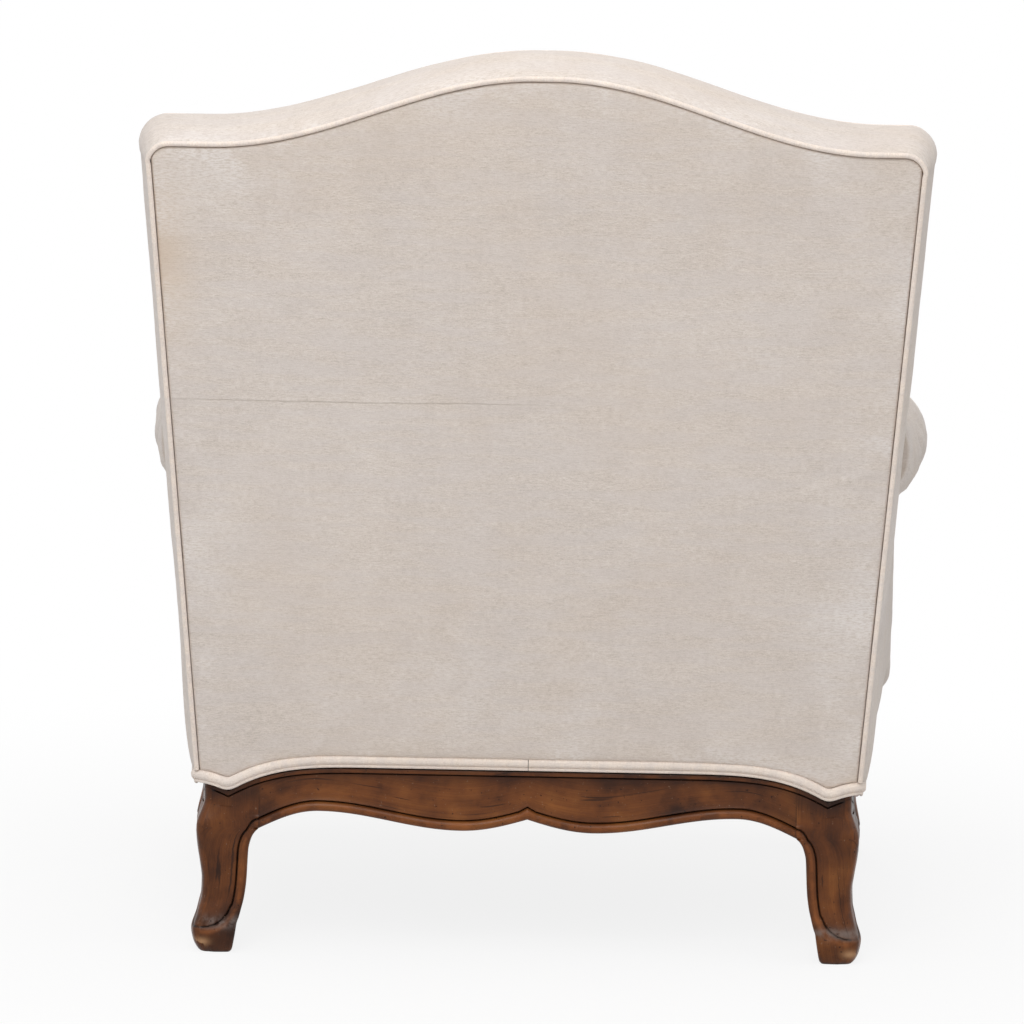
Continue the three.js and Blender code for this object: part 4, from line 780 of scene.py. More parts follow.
def strap_sheet(name, node_name, straps, put, thick=1.4):
    """Straps that run over and under each other: each has a start, an end, a first turn and a level."""
    points, quads, uvs, first, total = [], [], [], 0, 0.0
    across = np.concatenate([np.linspace(-1, 1, 9), np.linspace(1, -1, 9)]) * STRAP_WIDTH / 2
    half_thick = thick / 2 * np.minimum(1, 0.5 + 4 * (1 - np.abs(across) / (STRAP_WIDTH / 2)))
    side = np.concatenate([np.ones(9), -np.ones(9)]) * half_thick
    for number, (start, end, parity, level) in enumerate(straps):
        start, end = np.array(start, float), np.array(end, float)
        length = np.linalg.norm(end - start)
        ahead = (end - start) / length
        aside = np.array([-ahead[1], ahead[0]])
        run = np.linspace(0, 1, int(length / STRAP_STEP))[:, None]
        middle = start + run * (end - start)
        drift = 0.6 * waves(number, run * length / 90)
        flat = middle[:, None] + (across + drift)[..., None] * aside
        wave = 0.8 * parity * np.cos(math.pi * (middle @ ahead)[:, None] / WEBBING_PITCH)
        sag = 0.12 * waves(number + 40, run * length / 60, across / 20)
        points.append(put(flat[..., 0], flat[..., 1], level + wave + side + sag).reshape(-1, 3))
        index = first + np.arange(len(run) * 18).reshape(-1, 18)
        quads.append(cell_corners(np.hstack([index, index[:, :1]])).reshape(-1, 4))
        for row, backwards in ((index[0], True), (index[-1], False)):
            strip = np.stack([row[:8], row[1:9], row[16:8:-1], row[17:9:-1]], 1)
            quads.append(strip[:, ::-1] if backwards else strip)
        grid = uv_grid(across[None], run * length)
        uvs += [cell_corners(np.hstack([grid, grid[:, :1]])).reshape(-1, 4, 2), np.zeros((16, 4, 2))]
        first += index.size
        total += length * MILLIMETRE
    straps_mesh = (np.concatenate(part) for part in (points, quads, uvs))
    piece = make_piece(name, *straps_mesh, jute_finish, sharp=60)
    fit(piece, "chair", "jute_webbing", node_name, sheet={"flat": (STRAP_WIDTH * MILLIMETRE, total)})


def stretched_sheet(name, node_name, outline, shares, level, thick, put, material, slot):
    """A thin sheet pulled tight over an outline and tacked along it; level gives its upper side."""
    middle = (outline.min(axis=0) + outline.max(axis=0)) / 2
    plane = pillow_grid(outline, middle, shares)
    high = level(plane, np.asarray(shares)[:, None])
    flat = np.concatenate([plane, plane[::-1]])
    levels = np.concatenate([high - thick, high[::-1]])
    piece = skin(name, put(flat[..., 0], flat[..., 1], levels), closed_uv(flat), material, sharp=60)
    size = (outline.max(axis=0) - outline.min(axis=0)) * MILLIMETRE
    area = sum(face.area for face in piece.data.polygons) / 2
    fit(piece, "chair", slot, node_name, sheet={"flat": (float(size[0]), float(size[1])), "area": area})


def new_tree(name, start, knobs):
    """A geometry tree with named inputs for what it starts from and for its sizes."""
    tree = bpy.data.node_groups.new(name, "GeometryNodeTree")
    tree.interface.new_socket(start, in_out="INPUT", socket_type="NodeSocketGeometry")
    for label, default in knobs.items():
        kind = "NodeSocketInt" if isinstance(default, int) else "NodeSocketFloat"
        tree.interface.new_socket(label, in_out="INPUT", socket_type=kind).default_value = default
    tree.interface.new_socket(name, in_out="OUTPUT", socket_type="NodeSocketGeometry")
    return tree, add_node(tree, "NodeGroupInput").outputs


def end_tree(tree, shape, material):
    smooth = add_node(tree, "GeometryNodeSetShadeSmooth", {"Geometry": shape})
    real = add_node(tree, "GeometryNodeRealizeInstances", {"Geometry": smooth})
    finished = add_node(tree, "GeometryNodeSetMaterial", {"Geometry": real, "Material": material})
    add_node(tree, "NodeGroupOutput", {0: finished})
    return tree


def fastener_tree(name, material):
    """Small domed heads, one on each point of a mesh: round for tacks, long and thin for staples."""
    sizes = {"Head Length": 0.005, "Head Width": 0.005, "Head Height": 0.0008}
    tree, given = new_tree(name, "Places", sizes)
    ball = add_node(tree, "GeometryNodeMeshUVSphere", {"Segments": 12, "Rings": 6, "Radius": 0.5})
    turn = add_node(tree, "GeometryNodeInputNamedAttribute", {"Name": "turn"}, data_type="FLOAT")
    turned = add_node(tree, "ShaderNodeCombineXYZ", {"Z": turn})
    sized = add_node(tree, "ShaderNodeCombineXYZ", dict(zip("XYZ", (given[label] for label in sizes))))
    knobs = {"Points": given["Places"], "Instance": ball, "Rotation": turned, "Scale": sized}
    return end_tree(tree, add_node(tree, "GeometryNodeInstanceOnPoints", knobs), material)


def fasten(name, places, turns=0.0, body="chair", length=0.005, width=0.005, height=0.0008):
    """Drives one fastener in at each place."""
    mesh = bpy.data.meshes.new(name + "_places")
    mesh.from_pydata(placed(places).tolist(), [], [])
    mark_points(mesh, "turn", np.broadcast_to(turns, len(places)))
    knobs = {"Head Length": length, "Head Width": width, "Head Height": height}
    fit(grown(name, mesh, tack_heads, knobs), body, "spring_steel")


def grown(name, start_mesh, tree, inputs):
    """Runs a node tree on a mesh, and keeps what it grows as a plain mesh."""
    seedling = stand(name + "_start", start_mesh)
    modifier = seedling.modifiers.new(tree.name, "NODES")
    modifier.node_group = tree
    for item in tree.interface.items_tree:
        if item.name in inputs:
            modifier[item.identifier] = inputs[item.name]
    graph = bpy.context.evaluated_depsgraph_get()
    mesh = bpy.data.meshes.new_from_object(seedling.evaluated_get(graph), depsgraph=graph)
    mesh.name = name
    seedling.modifiers.remove(modifier)
    bpy.data.objects.remove(seedling)
    return stand(name, mesh)


steel = Finish("spring_wire_steel", Metallic=1.0)
scale_marks = steel.grain(steel.place(), 240, 3, 0.6)
wire = steel.colours(scale_marks, (0.35, 92, 84, 78), (0.6, 150, 148, 146))
spring_finish = steel.surface(wire, steel.spread(scale_marks, 0.3, 0.7, 0.32, 0.5), scale_marks, 0.0002)
for number in range(1, 10):
    coat(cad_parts[f"seat_spring_{number}"], spring_finish)
tack_heads = fastener_tree("Tack Heads", spring_finish)

STRAP_WIDTH, STRAP_STEP, WEBBING_PITCH, WEBBING_MIDDLE, LEDGE_SHARE = 50.0, 6.0, 72.0, 178.2, 26.0
TACK_LEVEL = 176.4
seat_straps, tack_places = [], []
for number, place in enumerate(WEBBING_PITCH * np.arange(-3, 4)):
    parity = (-1) ** number
    front_end = FRONT_FACE - float(bow_at(place)) + LEDGE_SHARE
    reach = side_face(place) - LEDGE_SHARE
    seat_straps.append(((place, front_end), (place, REAR_FACE - LEDGE_SHARE), parity, WEBBING_MIDDLE))
    seat_straps.append(((-reach, place), (reach, place), -parity, WEBBING_MIDDLE))
    for at in (place - 16, place - 5, place + 6, place + 17):
        tack_places += [(at, front_end + 5, TACK_LEVEL), (at, REAR_FACE - LEDGE_SHARE - 5, TACK_LEVEL)]
        tack_places += [(reach - 5, at, TACK_LEVEL), (5 - reach, at, TACK_LEVEL)]
strap_sheet("seat_webbing_straps", "seat_webbing", seat_straps, upright)
fasten("webbing_tacks", tack_places, height=0.0007)

BURLAP_DOME, BURLAP_EDGE = 285.3, 273.6
burlap_corners = node_corners("seat_burlap")
burlap_outline = resample(in_order(burlap_corners[burlap_corners[:, 2] < FRAME_TOP + 2, :2]), 360)
sheet_shares = np.concatenate([np.linspace(0.02, 0.74, 22), np.linspace(0.76, 0.985, 14), [0.993, 1.0]])


def burlap_level(plane, share):
    fall = unit((share - 0.78) / 0.22)
    fall = fall * fall * (3 - 2 * fall)
    return mix(BURLAP_DOME, BURLAP_EDGE, fall) + 0.3 * waves(35, plane[..., 0] / 60, plane[..., 1] / 60) * (1 - fall)


burlap_made = (burlap_outline, sheet_shares, burlap_level, 1.2, upright, burlap_finish, "burlap")
stretched_sheet("seat_burlap_sheet", "seat_burlap", *burlap_made)
burlap_tacks = resample(burlap_outline * 0.975, 70)
fasten("burlap_tacks", np.column_stack([burlap_tacks, np.full(70, BURLAP_EDGE + 0.5)]))

# 6. Paddings: cotton felt laid over the back's burlap, under the seat deck and round the cushion's core, teased by
# hand, so it lies lumpy. It has the form of its solids, and stays inside the covers, where it fills them out.
cotton = Finish("cotton_felt", Roughness=1.0, Sheen_weight=0.2)
tufts = cotton.grain(cotton.place(), 90, 4, 0.65, 0.6)
felt = cotton.colours(tufts, (0.3, 206, 198, 184), (0.6, 238, 232, 220))
cotton_finish = cotton.surface(felt, None, tufts, 0.003)


def evened(name, source, voxel):
    """A copy of a closed mesh with even, small faces."""
    mesh = source.data.copy()
    mesh.transform(source.matrix_world)
    piece = stand(name, mesh)
    even = piece.modifiers.new("even", "REMESH")
    even.mode = "VOXEL"
    even.voxel_size = voxel * MILLIMETRE
    graph = bpy.context.evaluated_depsgraph_get()
    piece.data = bpy.data.meshes.new_from_object(piece.evaluated_get(graph), depsgraph=graph)
    piece.data.name = name
    piece.modifiers.clear()
    return piece


def places_of(mesh, key="co"):
    values = np.empty(len(mesh.vertices) * 3, np.float32)
    mesh.vertices.foreach_get(key, values)
    return values.reshape(-1, 3)


def felted(name, node_name, body, fill, voxel=6.0, lump=2.2):
    """A pad of felt in the form of its solid, drawn in a little and lumpy."""
    pad = evened(name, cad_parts[node_name], voxel)
    at, outward = places_of(pad.data), places_of(pad.data, "normal")
    lumps = waves(83, at[:, 0] / 0.034, at[:, 1] / 0.034) + waves(84, at[:, 1] / 0.03, at[:, 2] / 0.03)
    drawn_in = (0.4 + lump * (0.5 + 0.25 * lumps)) * MILLIMETRE
    pad.data.vertices.foreach_set("co", (at - outward * drawn_in[:, None]).astype(np.float32).ravel())
    pad.data.polygons.foreach_set("use_smooth", np.ones(len(pad.data.polygons), bool))
    coat(pad, cotton_finish)
    fit(pad, body, "cotton_filling", node_name, fill=fill)


def nearby(points):
    tree = KDTree(len(points))
    for number, point in enumerate(points):
        tree.insert(point, number)
    tree.balance()
    return tree


CLOTH_FRAMES = 20


def filled_out(piece, held, most, slack=0.02, voxel=7.0):
    """Fills a cover out: an even copy is blown up as cloth with its seams held, and the cover follows it."""
    held = np.ravel(held)
    copy = evened(piece.name + "_cloth", piece, voxel)
    start, cover = places_of(copy.data), places_of(piece.data)
    beside = nearby(cover)
    group = copy.vertex_groups.new(name="held")
    for number, point in enumerate(start):
        group.add([number], float(held[beside.find(point)[1]]), "REPLACE")
    cloth = copy.modifiers.new("cloth", "CLOTH")
    knobs = cloth.settings
    knobs.quality, knobs.mass = 4, 0.3
    knobs.tension_stiffness = knobs.compression_stiffness = 15
    knobs.bending_stiffness = 0.4
    knobs.use_pressure, knobs.uniform_pressure_force = True, 4.0
    knobs.shrink_min = -slack
    knobs.vertex_group_mass = group.name
    knobs.effector_weights.gravity = 0
    for frame_number in range(1, CLOTH_FRAMES + 1):
        scene.frame_set(frame_number)
    blown = copy.evaluated_get(bpy.context.evaluated_depsgraph_get())
    moved = places_of(blown.data) - start
    reach = np.linalg.norm(moved, axis=1, keepdims=True)
    limit = most * MILLIMETRE
    moved *= limit * np.tanh(reach / limit) / np.maximum(reach, 1e-9)
    around = nearby(start)
    found = [around.find_n(point, 4) for point in cover]
    index = np.array([[hit[1] for hit in hits] for hits in found])
    weight = 1 / (np.array([[hit[2] for hit in hits] for hits in found]) + 1e-4) ** 2
    shift = (moved[index] * weight[..., None]).sum(axis=1) / weight.sum(axis=1, keepdims=True)
    cover += (1 - held[:, None]) * shift
    piece.data.vertices.foreach_set("co", cover.astype(np.float32).ravel())
    piece.data.update()
    bpy.data.objects.remove(copy)
    scene.frame_set(1)


felted("seat_deck_felt", "seat_deck_pad", "chair", 0.4, 5.0, 1.4)
felted("back_felt", "back_padding", "chair", 0.6)
felted("cushion_core_felt", "seat_cushion_core", "seat_cushion", 0.7, 6.0, 3.0)


# 7. Outside back: one width of cream chenille velvet, tacked to the posts and the crest rail over thin padding, and
# blind-stitched into the seam against the welt. The pile runs in fine cross ribs, and is crushed pale along seams.
FOLD_UP = 409.0


def velvet_finish(name, shade, middle, light, crushed, rib_scales, rib_depth):
    """Chenille velvet: fine ribs across the cloth, soft clouds where the pile leans, crushed pile and painted shade at
    seams.
    """
    pile = Finish(name, Roughness=0.9, Sheen_weight=0.2, Sheen_roughness=0.4)
    pile.shader.inputs["Specular IOR Level"].default_value = 0.2
    ribs = pile.grain(pile.place(rib_scales, uv="cloth"), 1, 3, 0.62, 0.2)
    streaks = pile.grain(pile.place([0.25 * s for s in rib_scales], uv="cloth"), 1, 3, 0.55, 0.3)
    fibres = pile.grain(pile.place((560, 1100, 1), uv="cloth"), 1, 2, 0.6)
    lean = pile.grain(pile.place(), 14, 4, 0.62, 0.5)
    drift = pile.grain(pile.place(), 3.2, 1, 0.5)
    tone = pile.times(ribs, 0.36)
    for part, share in ((streaks, 0.13), (fibres, 0.31), (lean, 0.12), (drift, 0.08)):
        tone = pile.plus(tone, pile.times(part, share))
    colour = pile.colours(tone, (0.36, *shade), (0.5, *middle), (0.64, *light))
    cool = pile.grain(pile.place((9, 60, 1), uv="cloth"), 1, 3, 0.6)
    colour = pile.blend(pile.spread(cool, 0.4, 0.6, 0, 0.32), colour, 209, 201, 198)
    yellowed = pile.spread(pile.grain(pile.place(), 4.5, 3, 0.6, 0.4), 0.42, 0.66, 0, 0.12)
    colour = pile.blend(pile.plus(yellowed, pile.attribute("yellowed")), colour, 208, 187, 165)
    patch = pile.times(pile.attribute("crushed"), pile.spread(lean, 0.4, 0.66, 0.1, 1.0))
    patch = pile.times(patch, pile.spread(ribs, 0.4, 0.56, 0.15, 0.8))
    colour = pile.blend(pile.times(patch, 0.7), colour, *crushed)
    # Painted shade: the seam crevices are painted dark brown, as the shade that falls into them.
    seam = pile.times(pile.attribute("seam"), pile.spread(lean, 0.4, 0.6, 0.3, 0.7))
    colour = pile.blend(seam, colour, 160, 139, 120)
    up = pile.add("ShaderNodeSeparateXYZ", {0: pile.place(uv="cloth")}).outputs[1]
    off_fold = pile.plus(pile.math("SUBTRACT", up, FOLD_UP * MILLIMETRE), pile.times(lean, 0.004))
    fold = pile.spread(pile.math("ABSOLUTE", off_fold), 0.0003, 0.0012, 1, 0)
    fold = pile.times(pile.times(fold, pile.attribute("folded")), pile.spread(fibres, 0.3, 0.55))
    colour = pile.blend(pile.times(fold, 0.28), colour, 158, 142, 126)
    height = pile.plus(pile.times(ribs, 0.6), pile.times(fibres, 0.4))
    height = pile.plus(height, pile.times(streaks, 0.25))
    height = pile.math("SUBTRACT", height, pile.times(fold, 0.6))
    return pile.surface(colour, None, height, rib_depth)


panel_colours = ((189, 178, 168), (212, 201, 192), (226, 218, 211), (231, 226, 223))
# The welts are the same velvet, given paler colours as painted light, for the light that their round cords catch.
lit_welt_colours = ((216, 201, 188), (234, 220, 208), (243, 232, 222), (242, 235, 228))
velvet = velvet_finish("cream_chenille_velvet", *panel_colours, (170, 640, 1), 0.0006)
lit_welt_velvet = velvet_finish("lit_welt_chenille_velvet", *lit_welt_colours, (260, 420, 1), 0.0004)

RAKE = math.radians(13)
COVER_FLARE = math.atan2((FRONT_WIDTH - REAR_WIDTH) / 2 + ARM_SPREAD, SEAT_DEPTH)
BACK_FOOT, BACK_PLANE, BACK_DEPTH = 206.0, REAR_FACE + 3.1, 112.0
BACK_HEIGHT, BACK_LOW_WIDTH, BACK_HIGH_WIDTH = 676.0, 705.0, 780.0
CREST_RISE, CREST_SPAN, CREST_LEVEL, CORNER_ROUND = 72.0, 325.0, 17.0, 22.0
SEAM_INSET, PANEL_BACK = 3.2, 3.8


def back_half(up):
    return mix(BACK_LOW_WIDTH, BACK_HIGH_WIDTH, up / BACK_HEIGHT) / 2


def widening(up, forward):
    """How much wider the back is towards its front, because its sides flare with the seat."""
    return 1 + forward * math.tan(COVER_FLARE) * math.cos(RAKE) / back_half(up)


def back_point(x, up, forward):
    """A point of the raked back: across, up the rake, and forwards from the face of the outside back."""
    wider = widening(up, forward)
    y = BACK_PLANE + up * math.sin(RAKE) - forward * math.cos(RAKE)
    z = BACK_FOOT + up * math.cos(RAKE) + forward * math.sin(RAKE)
    return np.stack(np.broadcast_arrays(x * wider, y, z), -1)


def up_at(z, forward):
    return (z - BACK_FOOT - forward * math.sin(RAKE)) / math.cos(RAKE)


def back_plane_at(z, forward):
    return BACK_PLANE + (z - BACK_FOOT) * math.tan(RAKE) - forward / math.cos(RAKE)


def crest_at(x):
    """Height of the crest, which runs on a little level on the sitter's right."""
    from_top = np.maximum(np.maximum(x, -x - CREST_LEVEL), 0)
    return BACK_HEIGHT + CREST_RISE * np.cos(math.pi / 2 * np.minimum(from_top / CREST_SPAN, 1)) ** 2


def cover_foot(corner_distance):
    """Lower edge of the covers, tucked in behind the double welt."""
    return welt_line(corner_distance) + 12.4


def edge_steps(length, step):
    """Shares of a length, with close steps near both ends, where a cover rolls into its seam."""
    ends = np.array([0, 0.5, 1.1, 1.8, 2.7, 3.9, 5.5, 7.6, 10.3, 13.6])
    middle = np.linspace(17, length - 17, int((length - 34) / step) + 1)
    return np.concatenate([ends, middle, length - ends[::-1]]) / length


def seam_roll(distance, depth=1.8, crown=0.9):
    """How a cover dives into its seam and stands a little full beside it, by distance from the seam."""
    return -depth * near(distance, 1.3) + crown * (1 - near(distance, 9))


def puckers(seed, along, distance, height=0.5, pitch=24.0, reach=26.0):
    """Small gathers that run from a seam into the cover."""
    fold = waves(seed, along / pitch) + 0.5 * waves(seed + 1, along / (0.45 * pitch), distance / 60)
    return height * fold * near(distance, reach) * (1 - near(distance, 3))


def grid_faces(rows, columns, first=0):
    index = first + np.arange(rows * columns).reshape(rows, columns)
    return index, cell_corners(index).reshape(-1, 4)


def border_loop(index):
    """The points round the edge of a grid, in order."""
    return np.concatenate([index[0], index[1:, -1], index[-1, -2::-1], index[-2:0:-1, 0]])


def padded_sheet(name, face, behind, uv_face, material, fields):
    """A cover with thickness: its face as a grid, its edge turned back, and a flat or gridded rear."""
    rows, columns = face.shape[:2]
    index, quads = grid_faces(rows, columns)
    uv, flat_uv = cell_corners(uv_face).reshape(-1, 4, 2), uv_face.reshape(-1, 2)
    edge, caps, gridded = border_loop(index), [], behind.ndim == 3
    if gridded:
        rear_index, rear_quads = grid_faces(rows, columns, index.size)
        quads = np.vstack([quads, rear_quads[:, ::-1]])
        uv = np.concatenate([uv, uv[:, ::-1]])
        rear_edge = border_loop(rear_index)
    else:
        rear_edge = index.size + np.arange(len(behind))
        caps = [rear_edge.tolist()]
    after, rear_after = np.roll(edge, -1), np.roll(rear_edge, -1)
    quads = np.vstack([quads, np.stack([edge, rear_edge, rear_after, after], 1)])
    turned_in = np.array([0, -0.004])
    wall_uv = np.stack([flat_uv[edge], flat_uv[edge] + turned_in, flat_uv[after] + turned_in, flat_uv[after]], 1)
    uv = np.concatenate([uv, wall_uv])
    points = np.concatenate([face.reshape(-1, 3), behind.reshape(-1, 3)])
    values = {}
    for field, grid in fields.items():
        flat = np.broadcast_to(grid, (rows, columns)).ravel()
        values[field] = np.concatenate([flat, flat if gridded else flat[edge]])
    return make_piece(name, points, quads, uv, material, caps, values, sharp=70)


def crease(x, y, place_x, place_y, length, turn, width=4.0):
    """One soft crease of unit height, centred on a place and turned from level."""
    run = (x - place_x) * math.cos(turn) + (y - place_y) * math.sin(turn)
    off = -(x - place_x) * math.sin(turn) + (y - place_y) * math.cos(turn)
    off = off - 3.5 * np.sin(run / (0.35 * length))
    return ridge(run, 0.5 * length) * (ridge(off, width) - 0.5 * ridge(off - 7, 6))


share_x = 2 * edge_steps(2 * 389.0, 4.6) - 1
share_up = edge_steps(735.0, 4.6)
round_inside = CORNER_ROUND - SEAM_INSET
grid_share, grid_rise = np.meshgrid(share_x, share_up)
panel_up = np.full_like(grid_share, 300.0)
for _ in range(6):
    panel_half = back_half(panel_up) - SEAM_INSET
    panel_x = grid_share * panel_half
    into_corner = np.clip(np.abs(panel_x) - (back_half(BACK_HEIGHT) - CORNER_ROUND), 0, round_inside)
    corner_drop = round_inside - np.sqrt(round_inside**2 - into_corner**2)
    panel_top = crest_at(panel_x) - SEAM_INSET - corner_drop
    panel_foot = up_at(cover_foot(REAR_WIDTH / 2 - np.abs(panel_x)), 0)
    panel_up = mix(panel_foot, panel_top, grid_rise)
to_side = (1 - np.abs(grid_share)) * panel_half
to_top, to_foot = panel_top - panel_up, panel_up - panel_foot
to_seam = np.minimum(np.minimum(to_side, to_top), to_foot)
proud = seam_roll(to_seam, 1.4) - 2.2 * near(to_foot, 2.6)
proud = proud + 0.8 * (1 - grid_share**2) * np.sin(math.pi * unit(grid_rise))
proud += puckers(11, panel_up + 2000 * (grid_share > 0), to_side, 0.55)
proud += puckers(13, panel_x, to_top, 0.4, 30)
proud += puckers(15, panel_x, to_foot, 0.3, 26)
proud += 0.75 * waves(17, panel_x / 120, panel_up / 95) + 0.22 * waves(18, panel_x / 34, panel_up / 26)
for place_x, place_up, length, angle, height in (
    *((-300, 640, 90, 0.25, 0.5), (330, 615, 110, -0.35, 0.5), (345, 560, 70, -0.1, 0.35)),
    *((100, 470, 300, 1.5, 0.35), (44, 300, 260, 1.55, 0.25), (-71, 420, 280, 1.58, 0.25)),
    *((345, 380, 60, 0.05, 0.4), (340, 300, 70, -0.08, 0.4), (-330, 360, 80, 0.1, 0.35)),
    *((338, 430, 90, 0.04, 0.35), (300, 160, 90, 0.12, 0.25), (-200, 250, 130, 0.04, 0.2)),
    *((-322, 332, 110, -0.42, 0.6), (-338, 292, 80, -0.55, 0.45), (-326, 128, 90, 0.35, 0.5)),
    *((-284, 96, 80, -0.45, 0.35), (-338, 205, 60, 0.95, 0.4), (-262, 150, 70, 0.8, 0.3)),
):
    proud += height * crease(panel_x, panel_up, place_x, place_up, length, angle)
proud = np.where(to_seam < 3, np.minimum(proud, 0.4 * to_seam), proud)
panel_edge = border_loop(np.arange(panel_x.size).reshape(panel_x.shape))
panel_rear = back_point(panel_x.ravel()[panel_edge], panel_up.ravel()[panel_edge], PANEL_BACK)
pressed = near(to_seam, 22) + 0.5 * ridge(np.hypot(panel_x - 300, panel_up - 640), 60)
pressed = pressed + 0.6 * np.exp(-(((panel_x + 330) / 45) ** 2) - ((panel_up - 190) / 130) ** 2)
pressed = pressed + 0.35 * np.exp(-(((panel_x - 60) / 170) ** 2) - ((panel_up - 90) / 70) ** 2)
in_sun = 0.6 * np.exp(-(((panel_half - panel_x) / 30) ** 2) - ((panel_up - 560) / 90) ** 2)
panel_fields = {
    # The seam field paints shade into the seam crevices.
    "seam": ridge(np.minimum(to_side, to_top), 1.3),
    "crushed": unit(pressed),
    "yellowed": in_sun + 0.15 * near(to_top, 60) + 0.3 * near(to_foot, 9),
    "folded": np.exp(-(((panel_x - 190) / 205) ** 4)) * ridge(panel_up - FOLD_UP, 20),
}
panel_uv = np.dstack([panel_x, panel_up]) * MILLIMETRE
panel_face = back_point(panel_x, panel_up, -proud)
outside_back = padded_sheet("outside_back", panel_face, panel_rear, panel_uv, velvet, panel_fields)
fit(outside_back, "chair", "velvet", "outside_back_panel", fill=0.5)


# 8. Border of the back: a band of the same velvet boxed over the crest and down both sides, over a roll of felt, and
# sewn to a welt along each of its two seams.
def offset_line(line, distance):
    """A line moved sideways, to the left of its run."""
    run = np.gradient(line, axis=0)
    run /= np.linalg.norm(run, axis=1)[:, None]
    return line + distance * np.stack([-run[:, 1], run[:, 0]], 1)


def back_seam(start_up, step=4.0):
    """Seam line of the back from its left foot, over the crest, to its right foot."""
    corner_up = BACK_HEIGHT - CORNER_ROUND
    up = np.linspace(start_up, corner_up, int((corner_up - start_up) / step))
    centre = back_half(BACK_HEIGHT) - CORNER_ROUND
    turns = np.radians(np.linspace(0, 90, 12)[1:-1])
    corner = np.stack([centre + CORNER_ROUND * np.cos(turns), corner_up + CORNER_ROUND * np.sin(turns)], 1)
    x = np.linspace(centre, 0, int(centre / step), endpoint=False)
    half = np.vstack([np.stack([back_half(up), up], 1), corner, np.stack([x, crest_at(x)], 1)])
    other = half[::-1] * np.array([-1, 1])
    other[: len(x), 1] = crest_at(other[: len(x), 0])
    return np.vstack([half, [[0, crest_at(0)]], other])


BAND_START, FLANGE_WIDTH, FLANGE_THICK, WING_FOOT = 4.0, 26.0, 1.6, 587.0
seam = back_seam(0.0, 5.0)
seam_out = seam - offset_line(seam, 1.0)
run_grid = run_length(seam)[:, None]
band = edge_steps(BACK_DEPTH - BAND_START, 5.2)
band_forward = mix(BAND_START, BACK_DEPTH, band)
from_rear, from_front = band * (BACK_DEPTH - BAND_START), (1 - band) * (BACK_DEPTH - BAND_START)
band_edge = np.minimum(band, 1 - band) * (BACK_DEPTH - BAND_START)
bulge = mix(7.0, 12.5, unit(seam_out[:, 1]))[:, None] * (1 - 0.8 * near(seam[:, 1:], 24))
band_out = 0.5 + bulge * np.sin(math.pi * band)[None] ** 0.9 - 3.0 * near(band_edge, 1.6)
band_out = band_out + puckers(21, run_grid, from_rear[None], 0.7, 22)
band_out = band_out + puckers(23, run_grid, from_front[None], 0.7, 24)
band_out = band_out + 0.8 * waves(25, run_grid / 85, band_forward[None] / 45) * (1 - near(band_edge, 5))
band_out = np.where(band_edge[None] < 3, np.minimum(band_out, 0.4 + 0.5 * band_edge[None]), band_out)
upright_side = np.abs(seam_out[:, 1:]) < 0.5
flange = FLANGE_WIDTH * (up_at(WING_FOOT, BACK_DEPTH) > seam[:, 1:]) * upright_side
section_out = np.hstack([band_out, -2.2 - flange, -2.7 - flange, np.full((len(seam), 6), -2.7)])
turned_in = [BACK_DEPTH + FLANGE_THICK, BACK_DEPTH + 0.3, *np.linspace(BACK_DEPTH, BAND_START, 6)]
section_forward = np.broadcast_to(np.concatenate([band_forward, turned_in]), section_out.shape)
ring_x = seam[:, :1] + section_out * seam_out[:, :1]
ring_up = seam[:, 1:] + section_out * seam_out[:, 1:]
below_corner = BACK_HEIGHT - CORNER_ROUND
foot_up = up_at(cover_foot(np.abs(REAR_FACE - back_plane_at(WELT_CORNER, section_forward))), section_forward)
raised_foot = mix(foot_up, ring_up, unit(unit(seam[:, 1:] / below_corner) * 6))
ring_up = np.where(upright_side & (seam[:, 1:] < below_corner), raised_foot, ring_up)
border_rings = back_point(ring_x, ring_up, section_forward)
border_uv = uv_grid(run_grid, np.concatenate([band_forward, BACK_DEPTH + 3 + 20 * np.arange(9)])[None])
edge_fields = np.concatenate([band_edge, np.full(8, 20.0)])
# The seam field paints shade into the seam crevices.
border_fields = {"seam": 0.8 * ridge(edge_fields, 1.2), "crushed": near(edge_fields, 16)}
back_band = skin("back_band", border_rings, border_uv, velvet, border_fields, 70)
fit(back_band, "chair", "velvet", "back_border", fill=0.6)
